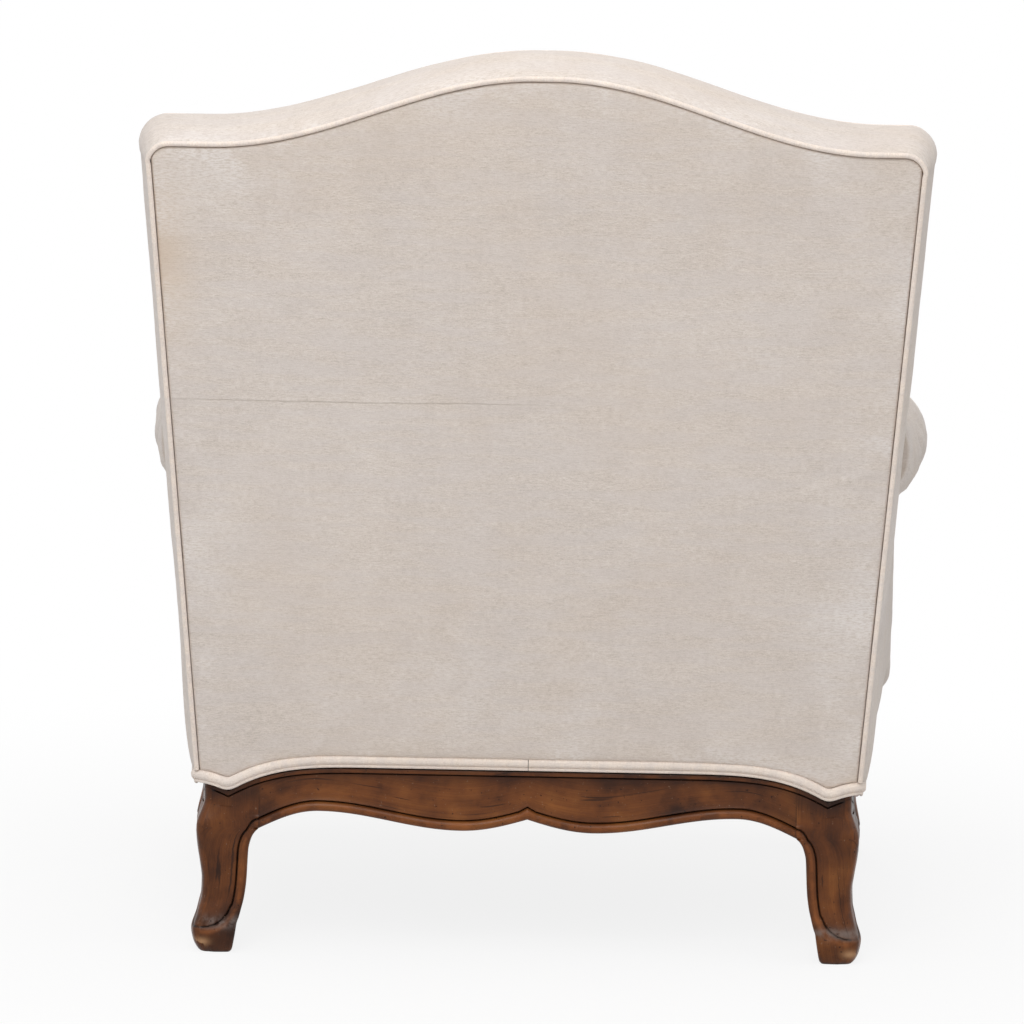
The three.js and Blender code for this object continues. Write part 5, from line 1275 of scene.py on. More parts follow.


# 9. Welts: cotton cord rolled in bias-cut strips of the velvet and sewn into every seam, their velvet painted paler
# as the light on the round cords. One node tree makes them all: it lays a round section along a line, with the slight
# unevenness of a hand-filled welt.
def welt_tree(name, material):
    sizes = {"Cord Radius": 0.0026, "Step": 0.003, "Unevenness": 0.05, "Lumps per Metre": 70.0, "Sides": 14}
    tree, given = new_tree(name, "Line", sizes)

    def kept(curve, label, value):
        """Keeps a value at the points of a curve, and gives the curve and the value."""
        made = add_node(tree, "GeometryNodeCaptureAttribute", domain="POINT")
        made.capture_items.new("FLOAT", label)
        tree.links.new(curve.outputs[0], made.inputs[0])
        tree.links.new(value, made.inputs[1])
        return made.outputs

    curve = add_node(tree, "GeometryNodeMeshToCurve", {0: given["Line"]})
    even = add_node(tree, "GeometryNodeResampleCurve", {"Curve": curve, "Length": given["Step"]}, mode="LENGTH")
    run = add_node(tree, "GeometryNodeSplineParameter").outputs["Length"]
    line = kept(even, "Run", run)
    place = add_node(tree, "ShaderNodeMath", {0: run, 1: given["Lumps per Metre"]}, operation="MULTIPLY")
    knobs = {"W": place, "Scale": 1.0, "Detail": 1.0}
    lumps = add_node(tree, "ShaderNodeTexNoise", knobs, noise_dimensions="1D")
    lumps = add_node(tree, "ShaderNodeMath", {0: lumps, 1: 0.5}, operation="SUBTRACT")
    lumps = add_node(tree, "ShaderNodeMath", {0: lumps, 1: given["Unevenness"], 2: 1.0}, operation="MULTIPLY_ADD")
    swelled = add_node(tree, "GeometryNodeSetCurveRadius", {"Curve": line[0], "Radius": lumps})
    knobs = {"Resolution": given["Sides"], "Radius": given["Cord Radius"]}
    ring = add_node(tree, "GeometryNodeCurvePrimitiveCircle", knobs)
    section = kept(ring, "Turn", add_node(tree, "GeometryNodeSplineParameter").outputs["Length"])
    knobs = {"Curve": swelled, "Profile Curve": section[0], "Fill Caps": True}
    tube = add_node(tree, "GeometryNodeCurveToMesh", knobs)
    cloth = add_node(tree, "ShaderNodeCombineXYZ", {"X": section[1], "Y": line[1]})
    knobs = {"Geometry": tube, "Name": "cloth", "Value": cloth}
    marked = add_node(tree, "GeometryNodeStoreNamedAttribute", knobs, data_type="FLOAT2", domain="CORNER")
    return end_tree(tree, marked, material)


welt_cord = welt_tree("Welt Cord", lit_welt_velvet)


def lay_line(name, path, closed):
    """A line of points, as the edges of a mesh in metres."""
    edges = [(k, k + 1) for k in range(len(path) - 1)] + ([(len(path) - 1, 0)] if closed else [])
    mesh = bpy.data.meshes.new(name)
    mesh.from_pydata(placed(path).tolist(), edges, [])
    return mesh


def sew_welt(name, node, path, closed=False, body="chair", radius=0.0026, sides=14, unevenness=0.16):
    knobs = {"Cord Radius": radius, "Sides": sides, "Unevenness": unevenness}
    fit(grown(name, lay_line(name + "_line", path, closed), welt_cord, knobs), body, "velvet_welt", node)


WELT_RADIUS = 2.6
rear_path = back_seam(float(up_at(cover_foot(0.0) + WELT_RADIUS, 0)), 3.0)
sew_welt("rear_back_welt", "back_rear_welt", back_point(rear_path[:, 0], rear_path[:, 1], 0.3))

wing_foot = up_at(WING_FOOT, BACK_DEPTH)
front_path = back_seam(float(wing_foot + WELT_RADIUS), 3.0)
front_points = back_point(front_path[:, 0], front_path[:, 1], BACK_DEPTH + WELT_RADIUS + 0.3)
sew_welt("front_back_welt", "back_front_welt", front_points)


# 10. Inside of the back: straps and burlap stretched between the posts, under the felt. They are tacked to the front
# of the frame, before the back is padded and covered.
def back_flat(node_name):
    """The corners of a plate of the back: across, up the rake and forwards."""
    x, y, z = node_corners(node_name).T
    up = (y - BACK_PLANE) * math.sin(RAKE) + (z - BACK_FOOT) * math.cos(RAKE)
    forward = (z - BACK_FOOT) * math.sin(RAKE) - (y - BACK_PLANE) * math.cos(RAKE)
    return x / widening(up, forward), up, forward


strap_x, strap_up, strap_forward = back_flat("back_webbing")
foot_up, head_up = strap_up.min(), strap_up.max()
foot_half, head_half = (np.abs(strap_x[np.abs(strap_up - end) < 1]).max() for end in (foot_up, head_up))
strap_level = float((strap_forward.min() + strap_forward.max()) / 2)
middle_up = (foot_up + head_up) / 2
back_straps = []
for number, place in enumerate(WEBBING_PITCH * np.arange(-3, 4)):
    back_straps.append(((place, foot_up), (place, head_up), (-1) ** number, strap_level))
for number in range(-2, 3):
    place = middle_up + WEBBING_PITCH * number
    reach = mix(foot_half, head_half, (place - foot_up) / (head_up - foot_up))
    back_straps.append(((-reach, place), (reach, place), (-1) ** number, strap_level))
strap_sheet("back_webbing_straps", "back_webbing", back_straps, back_point, 0.9)

sheet_x, sheet_up, sheet_forward = back_flat("back_burlap")
back_burlap_outline = resample(in_order(np.column_stack([sheet_x, sheet_up])), 300)
sheet_level = float(sheet_forward.max())


def back_burlap_level(plane, share):
    return sheet_level - 0.2 * (1 + waves(37, plane[..., 0] / 60, plane[..., 1] / 60))


burlap_made = (back_burlap_outline, sheet_shares, back_burlap_level, 0.9, back_point, back_burlap_finish, "burlap")
stretched_sheet("back_burlap_sheet", "back_burlap", *burlap_made)

# 11. Inside back: one crowned velvet cover over the felt, cut out round both arms and drawn down behind the seat. Its
# foot and its arm cut-outs are pulled tight, so short folds start from them.
DECK_TOP, DECK_FOOT, ARM_END = 306.5, 287.0, FRONT_FACE + RECESS
INSIDE_BASE, INSIDE_COUNT = BACK_DEPTH + JOINT_GAP, 420
ARM_REAR_HEIGHT, ARM_FRONT_HEIGHT, ARM_SAG = 545.0, 505.0, 8.0
ROLL_CENTRE, ROLL_RADIUS, ROLL_END, CUT_RADIUS = 26.0, 66.0, math.radians(-62), 67.2


def beside_arm(u, z):
    up = up_at(z, INSIDE_BASE)
    return (arm_face(back_plane_at(z, INSIDE_BASE)) + u) / widening(up, INSIDE_BASE), up


def rimmed(first, rest):
    """One more ring of values, for the edge that a cover stands on."""
    return np.vstack([np.full((1, rest.shape[1]), first), rest])


arm_cut = [beside_arm(-ARM_INNER - JOINT_GAP, z) for z in np.linspace(DECK_TOP, 416.0, 12)]
for turn in np.linspace(math.pi, math.asin((WING_FOOT + 0.5 - ARM_REAR_HEIGHT) / CUT_RADIUS), 34):
    round_u, round_z = CUT_RADIUS * math.cos(turn) - ROLL_CENTRE, ARM_REAR_HEIGHT + CUT_RADIUS * math.sin(turn)
    arm_cut.append(beside_arm(round_u, round_z))
arm_cut = np.array(arm_cut)
upper = offset_line(back_seam(float(wing_foot), 6.0), SEAM_INSET)
inside_outline = resample(np.vstack([arm_cut, upper, (arm_cut * [-1, 1])[::-1]]), INSIDE_COUNT)
inside_centre = np.array([0, wing_foot + 178])
inside_shares = 1 - np.linspace(0, 1, 64) ** 1.7 * 0.985
dome_at, dome_high = np.array([0, 0.3, 0.58, 0.8, 0.93, 0.985, 1]), np.array([1, 0.98, 0.9, 0.68, 0.38, 0.12, 0])
dome = smooth_table(inside_shares, dome_at, dome_high)
inside_plane = pillow_grid(inside_outline, inside_centre, inside_shares)
inside_run = run_length(inside_outline, closed=True)[:-1]
inside_edge = (1 - inside_shares[:, None]) * np.linalg.norm(inside_outline - inside_centre, axis=1)[None]
inside_x, inside_up = inside_plane[..., 0], inside_plane[..., 1]
inside_rise = 5 + 32.5 * dome[:, None] - 3.5 * near(inside_edge, 2.5)
inside_rise = inside_rise + puckers(31, inside_run[None], inside_edge, 1.1, 30, 34)
inside_rise = inside_rise + 1.6 * waves(33, inside_x / 150, inside_up / 120) * (1 - near(inside_edge, 20))
for side in (-1, 1):
    for place_up, angle, height in ((330, 0.5, 1.6), (395, 0.25, 1.2), (250, 0.9, 1.2), (190, 1.1, 1.0)):
        fold = crease(side * inside_x, inside_up, 235, place_up, 120, angle - 0.6, 7)
        inside_rise = inside_rise - height * fold * (1 - near(inside_edge, 12))
inside_flat = np.concatenate([inside_outline[None], inside_plane])
inside_depth = INSIDE_BASE + rimmed(0.0, np.maximum(inside_rise, 0.8))
inside_rings = back_point(inside_flat[..., 0], inside_flat[..., 1], inside_depth)
# The seam field paints shade into the seam crevices.
inside_fields = {"seam": rimmed(1.0, ridge(inside_edge, 2.0)), "crushed": rimmed(0.0, near(inside_edge, 24))}
inside_back = skin("inside_back", inside_rings, closed_uv(inside_flat), velvet, inside_fields, 75)
filled_out(inside_back, rimmed(1.0, near(inside_edge, 9)), 10, 0.025)
fit(inside_back, "chair", "velvet", "inside_back_cover", fill=0.75)

# 12. Arms: an inside cover goes up over a felt-padded wall and round the scroll of the arm, and is tacked under it.
# The outside arm is a flat panel, and a facing of the same velvet, edged with its own welt, closes the front end.
ARM_RAIL_HALF_WIDTH, ARM_RAIL_HALF_HEIGHT, ARM_RUN, ARM_SKIN = 34.0, 30.0, 500.0, 4.0
ROLL_EDGE_DROP = -ROLL_RADIUS * math.sin(ROLL_END) + 0.3 + WELT_RADIUS / 2
FOOT_ROUND, FOOT_RISE = 17.0, 19.0
foot_turn = np.concatenate([[0, 0.02, 0.05, 0.09, 0.14], np.linspace(0.2, 1, 12)])


def arm_point(sign, u, y, z):
    return np.stack(np.broadcast_arrays(sign * (arm_face(y) + u), y, z), -1)


def roll_height(share):
    return mix(ARM_REAR_HEIGHT, ARM_FRONT_HEIGHT, share) - ARM_SAG * np.sin(math.pi * share)


def arm_station(share, z):
    return mix(back_plane_at(z, INSIDE_BASE), ARM_END, share)


wall_share = np.linspace(0, 1, 26)
roll_turn = np.linspace(math.pi, ROLL_END, 64)[1:]
cavity_turn = np.linspace(math.radians(-20), math.pi, 10)
arm_shares = edge_steps(ARM_RUN, 7.0)
for hand, sign in HANDS:
    level = roll_height(arm_shares)[:, None]
    wall_u = -ROLL_CENTRE - ROLL_RADIUS - 3.0 * np.sin(math.pi * wall_share)[None] + 0 * level
    outer_u = np.hstack([wall_u, ROLL_RADIUS * np.cos(roll_turn)[None] - ROLL_CENTRE + 0 * level])
    outer_z = np.hstack([mix(DECK_FOOT, level, wall_share[None]), level + ROLL_RADIUS * np.sin(roll_turn)[None]])
    out_u, out_z = -np.gradient(outer_z, axis=1), np.gradient(outer_u, axis=1)
    size = np.hypot(out_u, out_z)
    round_run = np.concatenate([[0], np.cumsum(np.hypot(np.diff(outer_u[0]), np.diff(outer_z[0])))])[None]
    from_front = ((1 - arm_shares) * ARM_RUN)[:, None]
    from_back = (arm_shares * ARM_RUN)[:, None]
    push = -2.6 * near(from_front, 1.6) - 1.2 * near(from_back, 3.0)
    push = push + puckers(41 + sign, round_run, from_front, 1.2, 20, 30)
    push = push + puckers(45 + sign, round_run, from_back, 2.2, 34, 60)
    push = push + 1.8 * waves(47 + sign, from_front / 90, round_run / 80)
    push = push + 0.6 * waves(49 + sign, from_front / 34, round_run / 60)
    tuck = unit((round_run[0, -1] - round_run) / 18)
    push = push * np.minimum(tuck, unit(round_run / 12)) + 1.0 * np.sin(math.pi * from_front / ARM_RUN)
    outer_u, outer_z = outer_u + push * (out_u / size), outer_z + push * (out_z / size)
    inner_u = (ARM_RAIL_HALF_WIDTH + 0.3) * np.cos(cavity_turn)[None] - ROLL_CENTRE + 0 * level
    inner_z = level + (ARM_RAIL_HALF_HEIGHT + 0.3) * np.sin(cavity_turn)[None]
    foot_u, foot_z = np.full_like(level, -ROLL_CENTRE - ARM_RAIL_HALF_WIDTH - 0.3), np.full_like(level, DECK_FOOT)
    arm_u, arm_z = np.hstack([outer_u, inner_u, foot_u]), np.hstack([outer_z, inner_z, foot_z])
    arm_rings = arm_point(sign, arm_u, arm_station(arm_shares[:, None], arm_z), arm_z)
    rest = arm_u.shape[1] + 1 - round_run.shape[1]
    arm_uv = uv_grid(from_front, np.hstack([round_run, round_run[0, -1] + 12.0 * np.arange(1, rest + 1)[None]]))
    # The seam field paints shade into the seam crevices.
    arm_fields = {"seam": unit(ridge(from_front, 1.4) + 0.5 * ridge(from_back, 3)), "crushed": near(from_front, 20)}
    arm = skin(f"{hand}_arm_cover", arm_rings, arm_uv, velvet, arm_fields, 70)
    held_round = np.ones(arm_u.shape[1])
    held_round[: round_run.size] = near(np.minimum(round_run[0], round_run[0, -1] - round_run[0]), 12)
    filled_out(arm, np.maximum(np.maximum(near(from_front, 6), near(from_back, 10)), held_round[None]), 7, 0.03)
    fit(arm, "chair", "velvet", f"{hand}_arm_pad", fill=0.7)

    panel_rear_y = back_plane_at(float(cover_foot(BACK_DEPTH)), INSIDE_BASE)
    straight = 1 - edge_steps(2 * 235.0, 6.0)[:45][::-1] * 2
    column, row = np.meshgrid(edge_steps(ARM_RUN, 6.0), np.concatenate([foot_turn - 1, straight[straight > 0.02]]))
    foot_y = mix(panel_rear_y, ARM_END, column)
    top_z = roll_height(column) - ROLL_EDGE_DROP
    foot_z = cover_foot(np.minimum(REAR_FACE - foot_y, foot_y - FRONT_FACE))
    turned = unit(row + 1) * math.pi / 2
    over, rounding = arm_overhang(foot_y), FOOT_ROUND * arm_overhang(foot_y) / ARM_SPREAD
    side_u = over * (np.sin(turned) - 1)
    rising = FOOT_RISE / FOOT_ROUND * rounding * np.sin(turned)
    side_z = mix(foot_z + rising + rounding * (1 - np.cos(turned)) ** 1.5, top_z, unit(row))
    side_y = mix(foot_y, arm_station(column, top_z), (side_z - foot_z) / (top_z - foot_z))
    from_foot = side_z - foot_z + over + side_u
    panel_reach = np.minimum(np.minimum(column, 1 - column) * ARM_RUN, np.minimum(from_foot, top_z - side_z))
    proud = ARM_SKIN + seam_roll(panel_reach, 2.4, 1.2) + puckers(51 + sign, side_y, top_z - side_z, 0.7, 26)
    proud = proud + puckers(53 + sign, side_z, column * ARM_RUN, 0.6, 26)
    proud = proud + puckers(55, side_z, (1 - column) * ARM_RUN, 0.6, 22)
    proud = proud + 1.0 * waves(57 + sign, side_y / 110, side_z / 80)
    beside_border = back_half(up_at(side_z, BACK_DEPTH)) + BACK_DEPTH * math.tan(COVER_FLARE) * math.cos(RAKE)
    short_of_border = beside_border - 3 - arm_face(back_plane_at(side_z, INSIDE_BASE)) - ARM_SKIN
    proud = proud + np.maximum(short_of_border, 0) * near(column * ARM_RUN, 60)
    behind_z = np.maximum(side_z, foot_z + 1.5)
    lean = unit(1 - (behind_z - FRAME_TOP) / (top_z - FRAME_TOP))
    side_rear = arm_point(sign, -4.4 - arm_overhang(side_y) * lean, side_y, behind_z)
    # The seam field paints shade into the seam crevices.
    side_fields = {"seam": ridge(panel_reach, 1.4), "crushed": near(panel_reach, 20)}
    made = (arm_point(sign, side_u + proud, side_y, side_z), side_rear, uv_grid(side_y, side_z), velvet, side_fields)
    outside_arm = padded_sheet(f"{hand}_outside_arm_panel", *made)
    fit(outside_arm, "chair", "velvet", f"{hand}_outside_arm", fill=0.4)


def facing_outline(inset, foot_lift):
    """The front end of an arm: the round of its scroll, and straight down to the double welt."""
    radius = ROLL_RADIUS - inset
    inner, outer = -ARM_INNER + inset, ARM_SKIN - inset
    underside = math.asin((outer + ROLL_CENTRE) / radius) - math.pi / 2
    turns = np.linspace(math.pi, underside, 36)
    scroll = np.stack([radius * np.cos(turns) - ROLL_CENTRE, ARM_FRONT_HEIGHT + radius * np.sin(turns)], 1)
    over = arm_overhang(ARM_END)
    corner_foot = float(cover_foot(0.0)) + inset
    down = np.linspace(scroll[-1, 1], corner_foot + FOOT_RISE + FOOT_ROUND, 30)[1:-1]
    bend = np.radians(np.linspace(90, 0, 12))
    round_u = outer - over + over * np.sin(bend)
    corner = np.stack([round_u, corner_foot + FOOT_RISE * np.sin(bend) + FOOT_ROUND * (1 - np.cos(bend)) ** 1.5], 1)
    outside = np.vstack([np.stack([np.full(28, outer), down], 1), corner])
    foot_u = np.linspace(outer - over, inner, 18)[1:]
    foot = np.stack([foot_u, cover_foot(np.maximum(-foot_u - over, 0)) + foot_lift], 1)
    return scroll, outside, foot


FACING_BACK, FACING_INSET = ARM_END - JOINT_GAP, 2 * WELT_RADIUS + 1.2
facing_shares = 1 - np.linspace(0, 1, 34) ** 1.6 * 0.98
facing_dome = smooth_table(facing_shares, np.array([0, 0.5, 0.85, 0.97, 1]), np.array([1.0, 0.97, 0.8, 0.5, 0.0]))
facing_line = resample(np.vstack(facing_outline(FACING_INSET, 0.3)), 220)
facing_centre = np.array([-ROLL_CENTRE, ARM_FRONT_HEIGHT - 40.0])
facing_plane = pillow_grid(facing_line, facing_centre, facing_shares)
facing_edge = (1 - facing_shares[:, None]) * np.linalg.norm(facing_line - facing_centre, axis=1)[None]
facing_run = run_length(facing_line, closed=True)[:-1]
facing_flat = np.concatenate([facing_line[None], facing_plane])
scroll, outside, foot = facing_outline(WELT_RADIUS + 0.3, WELT_RADIUS + 0.3)
welt_start = resample(np.vstack([foot[-1:], scroll[:1]]), 60, closed=False)[:-1]
facing_path = np.vstack([welt_start, scroll, outside])
for hand, sign in HANDS:
    facing_rise = 6.5 + 5.5 * facing_dome[:, None] - 4.0 * near(facing_edge, 1.8)
    facing_rise = facing_rise + puckers(61 + sign, facing_run[None], facing_edge, 0.6, 14, 14)
    facing_rise = facing_rise + 0.5 * waves(63 + sign, facing_plane[..., 0] / 50, facing_plane[..., 1] / 60)
    facing_y = FACING_BACK - rimmed(0.0, facing_rise)
    facing_rings = arm_point(sign, facing_flat[..., 0], facing_y, facing_flat[..., 1])
    # The seam field paints shade into the seam crevices.
    facing_fields = {"seam": rimmed(1.0, ridge(facing_edge, 1.4)), "crushed": rimmed(0.0, near(facing_edge, 14))}
    facing = skin(f"{hand}_facing", facing_rings, closed_uv(facing_flat), velvet, facing_fields, 75)
    fit(facing, "chair", "velvet", f"{hand}_arm_facing", fill=0.6)
    facing_points = arm_point(sign, facing_path[:, 0], FACING_BACK - WELT_RADIUS - 0.3, facing_path[:, 1])
    sew_welt(f"{hand}_facing_welt", f"{hand}_arm_facing_welt", facing_points)

# 13. Double welt: two cords side by side in one strip of velvet, the upper one fatter. It is glued over the tacks
# where the covers end on the wood, and its ends meet in a splice in the middle of the back.
THICK_CORD, THIN_CORD, CORNER_CUT, WELT_STEP = 4.9, 2.3, 5.0, 3.2


def welt_side(length, put):
    along = np.arange(CORNER_CUT, length - CORNER_CUT, 4.0)
    return np.array([put(a, float(welt_line(min(a, length - a)))) for a in along])


def double_welt_path(rise, proud):
    """The line of one cord, with its height over the wood and how far it stands out."""
    face = 0.1 + proud

    def front_point(a, z):
        x = a - FRONT_WIDTH / 2
        return x, FRONT_FACE - float(bow_at(x)) - face, z + rise

    rear = welt_side(REAR_WIDTH, lambda a, z: (REAR_WIDTH / 2 - a, REAR_FACE + face, z + rise))
    front = welt_side(FRONT_WIDTH, front_point)
    right = welt_side(SEAT_DEPTH, lambda a, z: (-side_face(REAR_FACE - a) - face, REAR_FACE - a, z + rise))
    left = right[::-1] * np.array([-1, 1, 1])
    loop = np.roll(np.vstack([rear, right, front, left]), -int(len(rear) / 2), axis=0)
    loop = resample(loop, int(run_length(loop, closed=True)[-1] / WELT_STEP))
    wrapped = np.concatenate([loop[-2:], loop, loop[:2]])
    soft = sum(share * wrapped[k : k + len(loop)] for k, share in enumerate((0.12, 0.23, 0.3, 0.23, 0.12)))
    return np.vstack([soft, mix(soft[-1], soft[0], 0.8)])


for part, rise, proud, radius, sides in (
    ("upper", 0.8 + 2 * THIN_CORD + THICK_CORD - 0.7, 1.3, THICK_CORD, 20),
    ("lower", 0.8 + THIN_CORD, 0.9, THIN_CORD, 12),
):
    knobs = {"radius": radius * MILLIMETRE, "sides": sides, "unevenness": 0.14}
    sew_welt(f"double_welt_{part}", "bottom_double_welt", double_welt_path(rise, proud), **knobs)


# 14. Seat front and deck: a velvet border turned over the front edge, and plain platform cloth sewn behind it over
# the felt. The loose cushion hides the deck until it is lifted out.
FRONT_SPAN, FRONT_CLIMB, LIP_START, LIP_TURN = 333, 85, 297.5, 9


def inside_arm(y):
    return arm_face(y) - ARM_INNER - 0.3


border_share = 2 * edge_steps(2 * FRONT_SPAN + 1.0, 7.0) - 1
border_across = border_share[:, None]
border_foot = cover_foot(FRONT_WIDTH / 2 - np.abs(border_share * inside_arm(FRONT_FACE)))[:, None]
level = 0 * border_foot
climb = np.linspace(0, 1, 22)[None]
climbed, left_over = climb * FRONT_CLIMB, (1 - climb) * FRONT_CLIMB
border_end = np.minimum(1 - border_across, 1 + border_across) * FRONT_SPAN
run_x = border_across * FRONT_SPAN
face_depth = -4 - 2.2 * np.sin(math.pi * climb) ** 0.8 + 2.5 * near(climbed, 2)
face_depth = face_depth - puckers(71, run_x, climbed, 0.8, 24) - puckers(73, run_x, left_over, 0.5, 30)
face_depth = face_depth - 0.7 * waves(75, run_x / 90, climb * 2) + 2.5 * near(border_end, 2)
over = np.radians(np.linspace(0, 90, 10)[1:])[None]
lip = np.linspace(12, 75, 14)[None] + level
back_depth = np.array([[75, 9, 4.4, 4.4]]) + level
back_z = np.hstack([287.5 + level, 287.5 + level, FRAME_TOP + level, border_foot])
border_depth = np.hstack([face_depth, 5 - LIP_TURN * np.cos(over) + level, lip, back_depth])
over_z, lip_z = LIP_START + LIP_TURN * np.sin(over) + level, DECK_TOP - 1.5 * near(75 - lip, 2)
border_z = np.hstack([mix(border_foot, LIP_START, climb), over_z, lip_z, back_z])
border_y = FRONT_FACE - bow_at(border_across * inside_arm(FRONT_FACE)) + border_depth
border_rings = np.dstack([border_across * inside_arm(border_y), border_y, border_z])
down = np.concatenate([[0], np.cumsum(np.hypot(np.diff(border_depth[60]), np.diff(border_z[60])))])
front_uv = uv_grid(run_x, np.concatenate([down, [down[-1] + 5]])[None])
front_fields = {
    # The seam field paints shade into the seam crevices.
    "seam": unit((down[None] == 0) + ridge(border_end, 2)),
    "crushed": unit(near(down[None], 14) + near(border_end, 14)),
}
front_border = skin("seat_front", border_rings, front_uv, velvet, front_fields, 65)
fit(front_border, "chair", "velvet", "seat_front_border", fill=0.6)

platform = Finish("platform_cloth_weave", Roughness=0.95, Sheen_weight=0.08)
twill = crossed_threads(platform, platform.place(uv="cloth"), 1150, 0.8)
dirt = platform.grain(platform.place(), 7, 4, 0.6)
plain = platform.plus(platform.times(twill, 0.35), platform.times(dirt, 0.65))
cloth_tone = platform.colours(plain, (0.3, 184, 170, 148), (0.7, 214, 203, 184))
platform_finish = platform.surface(cloth_tone, None, twill, 0.0004)

DECK_SPAN, DECK_RUN, DECK_SEAM = 600.0, 480.0, 0.12
deck_rear = back_plane_at(DECK_TOP, INSIDE_BASE)
deck_column, deck_row = np.meshgrid(2 * edge_steps(DECK_SPAN, 9.0) - 1, edge_steps(DECK_RUN, 9.0))
deck_front = FRONT_FACE - bow_at(deck_column * inside_arm(FRONT_FACE)) + 75.3
deck_y = mix(deck_rear, deck_front, deck_row)
deck_x = deck_column * inside_arm(deck_y)
deck_edge = np.minimum((1 - np.abs(deck_column)) * DECK_SPAN / 2, np.minimum(deck_row, 1 - deck_row) * DECK_RUN)
deck_level = DECK_TOP - 1.0 * near(deck_edge, 2) + 0.5 * waves(81, deck_x / 70, deck_y / 70) - 0.6
deck_level = deck_level - 0.5 * ridge((deck_row - DECK_SEAM) * DECK_RUN, 2)
deck_face, deck_under = (np.dstack([deck_x, deck_y, z + 0 * deck_x]) for z in (deck_level, DECK_TOP - 1.2))
deck = padded_sheet("seat_deck", deck_face, deck_under, uv_grid(deck_x, deck_y), platform_finish, {})
fit(deck, "chair", "platform_cloth", "seat_deck_cloth", fill=0.3)

# 15. Loose seat cushion: a wrapped core in a boxed velvet cover, crowned by use, with a welt on both edges and a zip
# in the rear boxing. It lifts out by hand.
CUSHION_BOXING, CUSHION_SIT, CUSHION_COUNT = 108.0, 0.3, 440
CUSHION_LOW = DECK_TOP + CUSHION_SIT + 7.0
CUSHION_HIGH = CUSHION_LOW + CUSHION_BOXING
CUSHION_CROWN, CUSHION_WELT, WELT_SUNK = 34.0, 3.0, 2.8


def cushion_outline(inset):
    """Plan of the cushion at its welt seams: square behind, bowed in front, with rounded corners."""
    reach = WELT_SUNK + CUSHION_WELT
    rear = back_plane_at(DECK_TOP, INSIDE_BASE) - 18.0 - reach - inset
    lean = 1 / math.cos(COVER_FLARE)

    def side(y):
        return arm_face(y) - ARM_INNER - 2.5 - reach * lean - inset

    def front(x):
        return FRONT_FACE - float(bow_at(x)) - 4.0 + reach + inset

    corner_x = side(FRONT_FACE)
    bow = [(x, front(x)) for x in np.linspace(-corner_x, corner_x, 60)[3:-3]]
    corners = [(side(rear), rear, 22.0), (-side(rear), rear, 22.0), (-corner_x, front(corner_x), 16.0)]
    corners += [(x, y, 0.0) for x, y in bow] + [(corner_x, front(corner_x), 16.0)]
    line = []
    for k, (x, y, radius) in enumerate(corners):
        here = np.array([x, y])
        before = np.array(corners[k - 1][:2]) - here
        after = np.array(corners[(k + 1) % len(corners)][:2]) - here
        if not radius:
            line.append(here)
            continue
        before *= radius / np.linalg.norm(before)
        after *= min(radius / np.linalg.norm(after), 0.9)
        for share in np.linspace(0, 1, 9):
            line.append(here + before * (1 - share) ** 2 + after * share**2)
    return np.array(line)


cushion_line = resample(cushion_outline(0.0), CUSHION_COUNT)
under_shares, turn_under = np.linspace(0.02, 0.9, 16), np.linspace(0.9, 1, 12)[1:]
boxing_rise = edge_steps(CUSHION_BOXING, 4.5)
top_shares = 1 - np.linspace(0, 1, 66)[1:] ** 1.6 * 0.985
crown_at, crown_high = np.array([0, 0.55, 0.8, 0.93, 0.99, 1]), np.array([1.0, 0.93, 0.74, 0.48, 0.2, 0.0])
crown = smooth_table(top_shares, crown_at, crown_high)
turn_z = CUSHION_SIT + 6.7 * unit((turn_under - 0.93) / 0.07) ** 2.2
under_z = np.concatenate([np.full(len(under_shares), CUSHION_SIT), turn_z]) + DECK_TOP
boxing_z, crown_z = CUSHION_LOW + CUSHION_BOXING * boxing_rise, CUSHION_HIGH + CUSHION_CROWN * crown
levels = np.concatenate([under_z, boxing_z, crown_z])[:, None]
boxing_bulge = 1 + 0.0116 * np.sin(math.pi * boxing_rise) ** 0.8
cushion_shares = np.concatenate([under_shares, turn_under, boxing_bulge, top_shares])
cushion_plan = pillow_grid(cushion_line, np.array([0.0, 0.0]), cushion_shares)
cushion_run = run_length(cushion_line, closed=True)[:-1][None]
outward = cushion_line / np.linalg.norm(cushion_line, axis=1)[:, None]
flat_from = [(1 - shares) * 300 for shares in (under_shares, turn_under, top_shares)]
boxing_from = np.minimum(boxing_rise, 1 - boxing_rise) * CUSHION_BOXING
from_seam = np.concatenate([*flat_from[:2], boxing_from, flat_from[2]])[:, None]
box_start, top_start = len(under_z), len(under_z) + len(boxing_rise)
row_number = np.arange(len(levels))[:, None]
is_box = ((row_number >= box_start) & (row_number < top_start)).astype(float)
is_top = (row_number >= top_start).astype(float)
side_push = -2.6 * near(from_seam, 1.8) * is_box + is_box * puckers(91, cushion_run, from_seam, 1.0, 22, 26)
side_push = side_push + is_box * 0.9 * waves(93, cushion_run / 80, levels / 50)
cushion_plan = cushion_plan + side_push[..., None] * outward[None]
rolling = is_top * 2.2 * waves(97, cushion_plan[..., 0] / 120, cushion_plan[..., 1] / 110)
lift = is_top * puckers(95, cushion_run, from_seam, 1.6, 30, 45) + rolling * (1 - near(from_seam, 40))
cushion_z = levels + (lift - is_top * 3.0 * near(from_seam, 2.0))
cushion_rings = np.dstack([cushion_plan, cushion_z])
flat_uv = cushion_plan.copy()
flat_uv[box_start:top_start, :, 0] = cushion_run
flat_uv[box_start:top_start, :, 1] = levels[box_start:top_start] + 900
cushion_fields = {
    # The seam field paints shade into the seam crevices.
    "seam": ridge(np.minimum(from_seam, 99), 2.0) * np.maximum(is_box, is_top),
    "crushed": near(from_seam, 18),
}
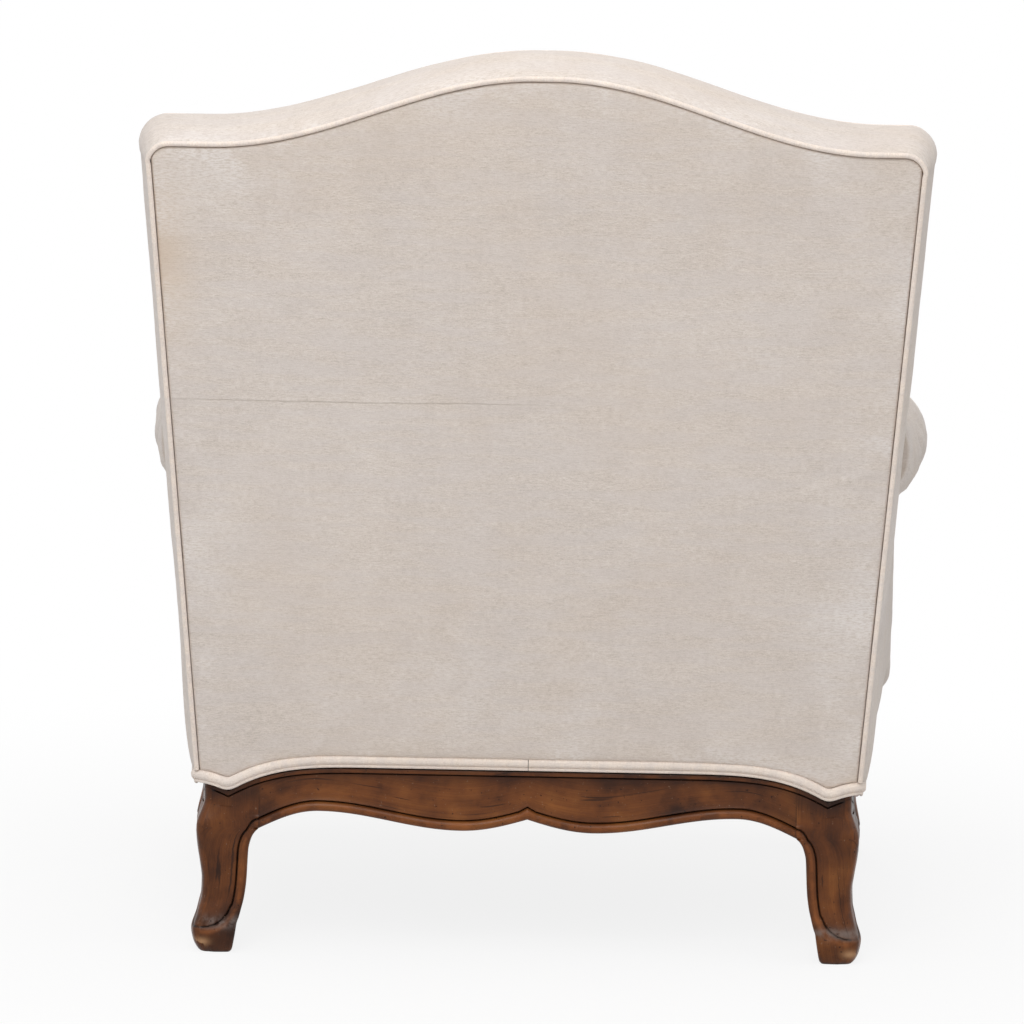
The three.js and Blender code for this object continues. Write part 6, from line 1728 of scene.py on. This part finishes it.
cushion = skin("seat_cushion", cushion_rings, closed_uv(flat_uv), velvet, cushion_fields, 75)
cushion_held = np.maximum(0.85, near(from_seam, 7)) * is_box + is_top * near(from_seam, 9) + (1 - is_box - is_top)
filled_out(cushion, np.broadcast_to(cushion_held, cushion_z.shape), 9, 0.03, 8.0)
fit(cushion, "seat_cushion", "velvet", "seat_cushion_cover", fill=0.7)
edge_path = resample(cushion_outline(-WELT_SUNK), 700)
for edge, level in (("top", CUSHION_HIGH + 2.2), ("bottom", CUSHION_LOW - 2.2)):
    edge_points = np.column_stack([edge_path, np.full(len(edge_path), level)])
    names = (f"cushion_{edge}_welt", f"seat_cushion_{edge}_welt")
    sew_welt(*names, edge_points, True, "seat_cushion", CUSHION_WELT * MILLIMETRE, 16, 0.14)

ZIP_LENGTH, ZIP_WIDTH, ZIP_LEVEL, TOOTH_PITCH = 379.0, 13.4, (CUSHION_LOW + CUSHION_HIGH) / 2, 2.0
rear_line = cushion_rings[box_start + int(np.argmin(np.abs(boxing_rise - 0.5)))]
rear_line = rear_line[rear_line[:, 1] > 120]
rear_line = rear_line[np.argsort(rear_line[:, 0])]


def on_zip(x, z, proud):
    return upright(x, np.interp(x, rear_line[:, 0], rear_line[:, 1]) + proud, z)


tape = Finish("zip_tape_twill", Roughness=0.9)
rib = tape.grain(tape.place((900, 2400, 1), uv="cloth"), 1, 2, 0.6)
tape_colour = tape.colours(rib, (0.35, 196, 180, 156), (0.6, 222, 208, 186))
tape_finish = tape.surface(tape_colour, None, rib, 0.0003)
tape_x = np.linspace(-ZIP_LENGTH / 2, ZIP_LENGTH / 2, 96)[:, None]
tape_across = np.concatenate([np.linspace(-1, 1, 12), np.linspace(1, -1, 12)])[None] * ZIP_WIDTH / 2
tape_proud = np.concatenate([np.full(12, 0.9), np.full(12, 0.2)])[None] + 0.5 * near(np.abs(tape_across), 1.2)
tape_rings = on_zip(tape_x, ZIP_LEVEL + tape_across + 0 * tape_x, tape_proud)
tape_uv = uv_grid(tape_x, np.concatenate([tape_across, tape_across[:, :1]], 1))
zip_tape = skin("cushion_zip_tape", tape_rings, tape_uv, tape_finish, sharp=60)
fit(zip_tape, "seat_cushion", "zip_tape", "seat_cushion_zip")
tooth_x = np.arange(-184.0, 185.0, TOOTH_PITCH)
tooth_z = ZIP_LEVEL + np.where(np.arange(len(tooth_x)) % 2, 0.7, -0.7)
teeth = on_zip(tooth_x[None], tooth_z[None], 1.5)[0]
fasten("zip_teeth", teeth, 0.0, "seat_cushion", 0.0016, 0.0014, 0.0034)

# 16. Dust cover: black cambric over the whole underside, its edge turned in and stapled under the rails. It has
# dropped a little in the middle, and hides the webbing from below.
cambric = Finish("black_cambric", Roughness=0.92)
lint = cambric.grain(cambric.place(), 900, 2, 0.6)
sag_marks = cambric.grain(cambric.place(), 11, 3, 0.6)
cambric_tone = cambric.plus(cambric.times(lint, 0.5), cambric.times(sag_marks, 0.5))
cambric_colour = cambric.colours(cambric_tone, (0.35, 26, 24, 23), (0.65, 52, 49, 46))
cambric_finish = cambric.surface(cambric_colour, None, lint, 0.0003)
dust_outline = resample(in_order(node_corners("dust_cover")[:, :2]), 420)
dust_shares = np.concatenate([np.linspace(0.02, 0.94, 36), [0.96, 0.975, 0.985, 0.993, 1.0]])
DUST_LEVEL, DUST_HANG, STAPLE_LEVEL = 176.3, 3.2, 175.0


def dust_level(plane, share):
    hung = DUST_HANG * np.cos(math.pi / 2 * np.minimum(share, 1)) ** 1.2
    tight = 0.5 * waves(85, np.arctan2(plane[..., 1], plane[..., 0]) * 7, share * 3) * share * (1 - share) * 4
    return DUST_LEVEL - hung - tight


dust_made = (dust_outline, dust_shares, dust_level, 1.0, upright, cambric_finish, "cambric")
stretched_sheet("dust_cover_sheet", "dust_cover", *dust_made)
staple_line = resample(dust_outline * 0.972, 76)
staple_run = np.gradient(np.vstack([staple_line[-1:], staple_line, staple_line[:1]]), axis=0)[1:-1]
staple_turn = np.arctan2(staple_run[:, 1], staple_run[:, 0])
staples = np.column_stack([staple_line, np.full(76, STAPLE_LEVEL)])
fasten("dust_cover_staples", staples, staple_turn, "chair", 0.011, 0.0011, 0.0009)
